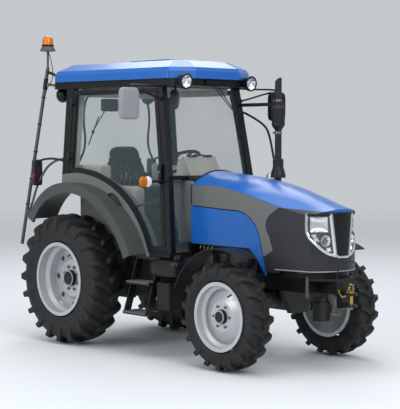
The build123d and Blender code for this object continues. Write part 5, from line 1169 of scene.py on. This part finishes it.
AHEAD, LEFT, UP = (1, 0, 0), (0, 1, 0), (0, 0, 1)
roof_lining = lining([(-0.030, -0.430), (0.930, -0.360), (0.930, 0.360), (-0.030, 0.430)], 0.03,
                     (0, 0, 2.2585), AHEAD, (0, -1, 0), 0.012, 0.004)
rear_header = lining([(-0.450, 2.190), (0.450, 2.190), (0.430, 2.262), (-0.430, 2.262)], 0.012,
                     (-0.100, 0, 0), LEFT, UP, 0.030, 0.006)
pillar_strip = lining([(-0.578, 1.555), (-0.500, 1.555), (-0.432, 2.215), (-0.520, 2.240)], 0.012,
                      (-0.058, 0, 0), LEFT, UP, 0.014, 0.004)
foot_panel = lining([(-0.436, 1.465), (-0.312, 1.465), (-0.312, 0.930), (-0.330, 0.930), (-0.346, 1.080),
                     (-0.386, 1.220), (-0.428, 1.340)], 0.008, (1.112, 0, 0), LEFT, UP, 0.008, 0.002)
side_panel = lining([(1.106, 0.945), (1.276, 0.960), (1.276, 1.466), (1.106, 1.466)], 0.008,
                    (0, -0.304, 0), AHEAD, UP, 0.006, 0.002)
door_header = lining([(0.020, 2.196), (0.930, 2.190), (0.930, 2.262), (0.020, 2.262)], 0.012,
                     (0, -0.395, 0), AHEAD, UP, 0.012, 0.004)
piece("cab_linings", [
    (CABIN_PLASTIC, [roof_lining, rear_header, mirrored(door_header)] + both(pillar_strip)),
    (ARCH_PLASTIC, both(foot_panel, side_panel)),
], "chassis", sharp=50)

# %% [markdown]
# The exhaust rises beside the hood on the left. Its solid already has the muffler and the cut end. What a
# mechanic would look for are the clamps: a band with two ears and a bolt, round the pipe above and below
# the muffler. Upright rods round the muffler keep hands off the hot metal.

# %% Exhaust clamps and heat guard
STACK_X, STACK_Y = along(1.530), 0.432
GUARD_RODS, GUARD_RADIUS = 18, 0.0535
BOLT_LINE = [(0, -0.018), (0.008, -0.018), (0.008, -0.012), (0.004, -0.012), (0.004, 0.012), (0.008, 0.012),
             (0.008, 0.018), (0, 0.018)]


def clamp(height, radius, tall=0.020):
    """A band clamp round the stack: a ring, two ears on its rear side, and a bolt through them."""
    outer, half = radius + 0.003, tall / 2
    band = turned([(radius, -half), (outer, -half), (outer, half), (radius, half)],
                  (STACK_X, STACK_Y, height), (0, 0, 1), 48)
    ears = [soft_box((STACK_X - radius - 0.012, STACK_Y + side * 0.007, height), (0.014, 0.003, half),
                     0.2, 12, 20) for side in (-1, 1)]
    bolt = turned(BOLT_LINE, (STACK_X - radius - 0.014, STACK_Y, height), (0, 1, 0), 6)
    return [band] + ears, [bolt]


clamps = [clamp(1.868, 0.029), clamp(2.142, 0.029)]
guard = []
for number in range(GUARD_RODS):
    swing = number * 2 * math.pi / GUARD_RODS
    x, y = STACK_X + GUARD_RADIUS * math.cos(swing), STACK_Y + GUARD_RADIUS * math.sin(swing)
    guard += [tube(np.linspace((x, y, 1.932), (x, y, 2.074), 6), 0.0030, 8, (1, 0.2, 0))]
piece("exhaust_clamps", [
    (STEEL, clamps[0][0] + clamps[1][0]), (YELLOW_ZINC, clamps[0][1] + clamps[1][1]), (STACK_ENAMEL, guard),
], "chassis")

# %% [markdown]
# The beacon is an amber dome of ribbed plastic on a black foot. The ribs are a wave in the dome's radius. A
# bright core stands inside it.

# %% Beacon dome
BEACON_X, BEACON_Y, BEACON_Z = along(-0.400), -0.585, 2.657
DOME_RADIUS, DOME_HEIGHT, DOME_RIBS = 0.050, 0.0925, 24
height = np.linspace(0, 1, 22)[:, None]
turn = np.linspace(0, 2 * np.pi, 96, endpoint=False)[None, :]
dome_radius = DOME_RADIUS * np.clip(1 - height ** 5, 0, 1) ** 0.5 * (1 + 0.012 * np.cos(DOME_RIBS * turn))
dome = grid(np.stack(np.broadcast_arrays(BEACON_X + dome_radius * np.cos(turn),
                                         BEACON_Y + dome_radius * np.sin(turn),
                                         BEACON_Z + DOME_HEIGHT * height), axis=-1), wrap_v=True)
core = turned([(0, 0), (0.022, 0), (0.022, 0.05), (0.016, 0.062), (0, 0.066)], (BEACON_X, BEACON_Y, BEACON_Z),
              (0, 0, 1), 24)
foot_ring = turned([(0.050, 0.0), (0.056, 0.001), (0.057, 0.010), (0.052, 0.013), (0.050, 0.013)],
                   (BEACON_X, BEACON_Y, BEACON_Z - 0.002), (0, 0, 1), 48)
piece("beacon_dome", [
    (AMBER_LENS, [dome]), (CHROME, [core]), (BLACK_PLASTIC, [foot_ring]),
], "chassis", stands_for=("beacon",), sharp=60)

# %% [markdown]
# The beacon's pole leans back to the rear axle. A black arm with a sleeve holds it to the cab, and a gray
# stay ties it to the tail lamp's arm. A thin cable hangs in a loop from the beacon's foot down to the
# pole and is tied there.

# %% Pole stays and the beacon's cable
POLE_FOOT, POLE_HEAD = placed((-0.660, -0.700, 0.850)), placed((-0.400, -0.585, 2.460))


def on_pole(height, forward=0.0):
    """A point of the pole's middle line at a height, moved forward."""
    share = (height - POLE_FOOT[2]) / (POLE_HEAD[2] - POLE_FOOT[2])
    return POLE_FOOT + (POLE_HEAD - POLE_FOOT) * share + (forward, 0, 0)


def round_pole(outline, height, steps):
    """A ring about the pole at a height."""
    return turned(outline, on_pole(height), POLE_HEAD - POLE_FOOT, steps)


loop = rounded([(BEACON_X + 0.012, BEACON_Y, 2.600), (BEACON_X + 0.030, BEACON_Y + 0.010, 2.540),
                (BEACON_X + 0.055, BEACON_Y + 0.015, 2.440), (BEACON_X + 0.060, BEACON_Y + 0.010, 2.350),
                on_pole(2.270, 0.030), on_pole(2.200, 0.018)], 3)
cable = np.concatenate([loop, [on_pole(z, 0.0185) for z in np.linspace(2.18, 1.20, 20)]])
ties = [round_pole([(0.018, -0.003), (0.0235, -0.003), (0.0235, 0.003), (0.018, 0.003)], z, 24)
        for z in (2.19, 1.95, 1.70, 1.45, 1.22)]
stay_line = placed([(-0.090, -0.612, 1.640), (-0.155, -0.622, 1.636), (-0.252, -0.632, 1.612),
                    (-0.356, -0.645, 1.550), (-0.460, -0.672, 1.388), (-0.512, -0.684, 1.230)])
lamp_stay = tube(rounded([*stay_line, on_pole(1.080)], 3), 0.011, 14, (0.3, 1, 0.1))
arm_line = placed([(-0.300, -0.585, 2.400), (-0.200, -0.585, 2.335), (-0.110, -0.560, 2.290)])
roof_arm = tube(rounded([on_pole(2.420), *arm_line], 3), 0.014, 14, (0, 1, 0))
sleeve = round_pole([(0.0165, -0.05), (0.020, -0.05), (0.020, 0.05), (0.0165, 0.05)], 2.315, 28)
piece("beacon_cable", [
    (SEAL_RUBBER, [tube(cable, 0.0035, 10, (0, 1, 0))] + ties), (BLACK_ENAMEL, [sleeve, roof_arm]),
    (POLE_ENAMEL, [lamp_stay]),
], "chassis")

# %% [markdown]
# Steps get pressed ribs so that a wet boot grips, and a bright edge. The boxes under the floor get straps
# and a rounded cover each, and the right one, the tank, a filler neck with a cap.

# %% Step ribs and tank fittings
STEPS = ((0.600, 0.675), (0.350, 0.715))
STEP_INNER, RIBS = 0.560, 5
ribs, edge_strips = [], []
for height, outer in STEPS:
    for y in np.linspace(STEP_INNER, outer - 0.018, RIBS):
        ends = (along(0.850), -y, height + 0.026), (along(1.115), -y, height + 0.026)
        ribs += [tube(np.linspace(*ends, 8), 0.0045, 8)]
    ends = (along(0.838), -outer, height + 0.020), (along(1.127), -outer, height + 0.020)
    edge_strips += [tube(np.linspace(*ends, 6), 0.008, 10)]
straps = [bent([(at, -0.300, 0.8285), (at, -0.4735, 0.800), (at, -0.4735, 0.470), (at, -0.430, 0.428),
                (at, -0.280, 0.428)], 2, 0.006, 8, (1, 0, 0)) for at in (1.080, 1.260)]
neck = bent([(1.290, -0.470, 0.760), (1.296, -0.505, 0.790), (1.300, -0.512, 0.824)], 3, 0.028, 24)
cap = turned([(0, 0.030), (0.030, 0.030), (0.036, 0.022), (0.038, 0.0), (0.030, -0.004)],
             placed((1.300, -0.512, 0.822)), (0, -0.15, 1), 36)
tank_cover = soft_box(placed((1.190, -0.520, 0.740)), (0.172, 0.082, 0.078), 0.42, 24, 40)
piece("step_ribs", [
    (STEEL, both(*ribs, *edge_strips)), (BLACK_ENAMEL, both(*straps, tank_cover)),
    (BLACK_PLASTIC, [neck, cap]),
], "chassis")

# %% [markdown]
# The engine's right side shows under the hood: an oil filter on its head, a fuel pump with four pipes, an
# alternator with its pulley, and hoses for the heater and the steering. Each is fixed to the block.

# %% Engine fittings
ALTERNATOR_AT = placed((1.800, -0.235, 0.830))
oil_filter = turned([(0, 0), (0.044, 0), (0.046, 0.010), (0.046, 0.095), (0.038, 0.108), (0, 0.110)],
                    placed((1.400, -0.236, 0.700)), (0, -0.25, -1), 40)
filter_head = soft_box(placed((1.400, -0.206, 0.712)), (0.050, 0.055, 0.022), 0.3)
pump = soft_box(placed((1.380, -0.228, 0.800)), (0.085, 0.045, 0.062), 0.25)
pump_lines = [bent([(1.310 + 0.045 * n, -0.240, 0.850), (1.315 + 0.045 * n, -0.285, 0.905),
                    (1.330 + 0.05 * n, -0.240, 0.960), (1.330 + 0.05 * n, -0.185, 0.970)], 3, 0.004, 8)
              for n in range(4)]
alternator = turned([(0, -0.06), (0.035, -0.06), (0.055, -0.045), (0.058, 0.035), (0.040, 0.055), (0, 0.055)],
                    ALTERNATOR_AT, (1, 0, 0), 36)
pulley = turned([(0, 0.055), (0.034, 0.055), (0.028, 0.063), (0.034, 0.071), (0, 0.071)],
                ALTERNATOR_AT, (1, 0, 0), 36)
heat_hose = bent([(1.260, -0.200, 0.720), (1.310, -0.255, 0.690), (1.450, -0.228, 0.655),
                  (1.600, -0.212, 0.680), (1.720, -0.190, 0.720)], 3, 0.014)
steer_hoses = [bent([(1.500, -0.205, 0.600 + 0.03 * n), (1.700, -0.218, 0.570 + 0.03 * n),
                     (1.880, -0.218, 0.600 + 0.02 * n), (1.960, -0.150, 0.600 + 0.02 * n)], 3, 0.008, 12)
               for n in range(2)]
piece("engine_fittings", [
    (CAST_IRON, [filter_head, pump] + both(alternator)), (YELLOW_ZINC, pump_lines), (STEEL, both(pulley)),
    (BLACK_ENAMEL, [oil_filter]), (SEAL_RUBBER, [heat_hose] + steer_hoses + [mirrored(heat_hose)]),
], "chassis", sharp=45)

# %% [markdown]
# Every door hangs on its frame with a rubber seal between glass and frame, and it has a pull inside and a
# latch button in the outer handle. They ride on the doors, so they swing with them.

# %% Planes and edges of a door
# The door's plane: its half width at a length and a height, and how fast it narrows forward and leans in
DOOR_AT, DOOR_HALF, NARROWS, LEANS_IN = (-0.090, 1.900), 0.610, 0.119, 0.0776
DOOR_OUT = (NARROWS, -1, LEANS_IN)
# The pillar's length at its waist, the waist's height, and its lean above and below it
PILLAR_X, WAIST_Z, LEAN_ABOVE, LEAN_BELOW = 1.138, 1.490, 0.1714, 0.1226
# The wheel arch's middle and radius
ARCH_X, ARCH_Z, ARCH_RADIUS = 0.050, 0.518, 1.000
PANE_INSET = 0.038


def on_door(at, height, out=0.0):
    """A point of the right door's outer plane, which leans in with height and narrows to the front,
    moved out of it."""
    y = DOOR_HALF - NARROWS * (at - DOOR_AT[0]) - LEANS_IN * (height - DOOR_AT[1])
    return np.array([along(at), -y, height]) + out * unit(DOOR_OUT)


def pillar_x(height):
    """Length of the front pillar's middle at a height; it bends at the waist."""
    return PILLAR_X - (LEAN_ABOVE if height > WAIST_Z else LEAN_BELOW) * (height - WAIST_Z)


def light_edge(inset):
    """The door pane's edge: up the rear, along the top, down beside the pillar and back along the arch."""
    rear, top, low = -0.020 + inset, 2.244 - inset, 0.880 + inset
    front = lambda z: pillar_x(z) - 0.033 - inset
    arch = lambda at: ARCH_Z + math.sqrt((ARCH_RADIUS + inset) ** 2 - (at - ARCH_X) ** 2)
    toe = ARCH_X + math.sqrt((ARCH_RADIUS + inset) ** 2 - (low - ARCH_Z) ** 2)
    line = [(rear, z) for z in np.linspace(arch(rear), top, 16)]
    line += [(at, top) for at in np.linspace(rear, front(top), 14)[1:]]
    line += [(front(z), z) for z in np.linspace(top, low, 26)[1:]]
    line += [(toe, low)] if toe < front(low) else []
    return line + [(at, arch(at)) for at in np.linspace(min(toe, front(low)), rear, 30)[1:]]


print("door pane's edge:", len(light_edge(PANE_INSET)), "points")

# %% Door seals, pulls and latch buttons
seal = tube(np.array([on_door(at, z, -0.013) for at, z in light_edge(PANE_INSET)]), 0.0055, 8, (0.3, -1, 0.1))
pull_line = [on_door(1.06, 1.30, -0.030), on_door(1.05, 1.30, -0.075), on_door(0.80, 1.26, -0.075),
             on_door(0.78, 1.243, -0.030)]
inner_pull = tube(rounded(pull_line, 3), 0.010)
handle_at = on_door(pillar_x(1.52) - 0.052, 1.535, 0.027)
button = turned([(0, 0.006), (0.008, 0.006), (0.010, 0.003), (0.010, -0.004)], handle_at, DOOR_OUT, 24)
for side, flip in (("right", lambda s: s), ("left", mirrored)):
    piece(f"door_trim_{side}", [
        (SEAL_RUBBER, [flip(seal)]), (BLACK_PLASTIC, [flip(inner_pull)]), (STEEL, [flip(button)]),
    ], f"door_{side}")

# %% [markdown]
# A rubber bead closes the gap between the hood's rear edge and the cab, so it follows the hood's own
# section: straight sides and an arc over the crown. It is carried by the hood and lifts with it.

# %% Hood bead
HOOD_HALF, HOOD_SHOULDER, HOOD_CROWN, BEAD_FOOT = 0.318, 1.424, 1.548, 1.275
crown_rise = HOOD_CROWN - HOOD_SHOULDER
crown_radius = (HOOD_HALF ** 2 + crown_rise ** 2) / (2 * crown_rise)
swing = np.linspace(-1, 1, 41) * math.asin(HOOD_HALF / crown_radius)
crown_line = np.stack([crown_radius * np.sin(swing),
                       HOOD_CROWN - crown_radius + crown_radius * np.cos(swing)], axis=1)
bead_line = np.concatenate([[(-HOOD_HALF, BEAD_FOOT)], crown_line, [(HOOD_HALF, BEAD_FOOT)]])
bead = tube(np.stack([np.full(len(bead_line), along(1.257)), *bead_line.T], axis=1), 0.0065, 10, (1, 0, 0))
piece("hood_bead", [(SEAL_RUBBER, [bead])], "hood_body")

# %% [markdown]
# The floor is a wide pale disc that only catches the shadow. It and the world are stage, not part of the
# tractor. The world is a plain pale grey that fills the shadows softly. Far out, the floor glows in the
# same grey as the world, so no horizon line cuts the picture behind the cab.

# %% Floor and world
HAZE, HAZE_LEVEL = "#e3e8ec", 0.72
FLOOR_NEAR, FLOOR_FAR = 5.0, 26.0
a = np.linspace(0, 2 * np.pi, 96, endpoint=False)
r = np.array([0.0, 2.0, 5.0, 12.0, 30.0, 80.0])
floor_points = np.stack([r[:, None] * np.cos(a), r[:, None] * np.sin(a), np.zeros((len(r), len(a)))], axis=-1)
points, quads = grid(floor_points, wrap_v=True)
floor_mesh = bpy.data.meshes.new("floor")
floor_mesh.from_pydata(points.tolist(), [], quads.tolist())
floor = bpy.data.objects.new("floor", floor_mesh)
scene.collection.objects.link(floor)
material, tree, place = new_finish("pale_floor")
shader = add(tree, "ShaderNodeBsdfPrincipled", Roughness=0.8, Base_Color=linear("#d9dde0"))
far = add(tree, "ShaderNodeVectorMath", {0: place}, operation="LENGTH")
fade = add(tree, "ShaderNodeMapRange", {"Value": far.outputs["Value"]}, From_Min=FLOOR_NEAR,
           From_Max=FLOOR_FAR, interpolation_type="SMOOTHSTEP")
haze = add(tree, "ShaderNodeEmission", Color=linear(HAZE), Strength=HAZE_LEVEL)
mixed = add(tree, "ShaderNodeMixShader", {0: fade.outputs["Result"], 1: shader.outputs["BSDF"],
                                          2: haze.outputs["Emission"]})
add(tree, "ShaderNodeOutputMaterial", {"Surface": mixed.outputs["Shader"]})
floor_mesh.materials.append(material)
world = bpy.data.worlds.new("world")
scene.world = world
world.use_nodes = True
background = world.node_tree.nodes["Background"]
background.inputs["Color"].default_value = linear(HAZE)
background.inputs["Strength"].default_value = HAZE_LEVEL
print("floor and world ready")
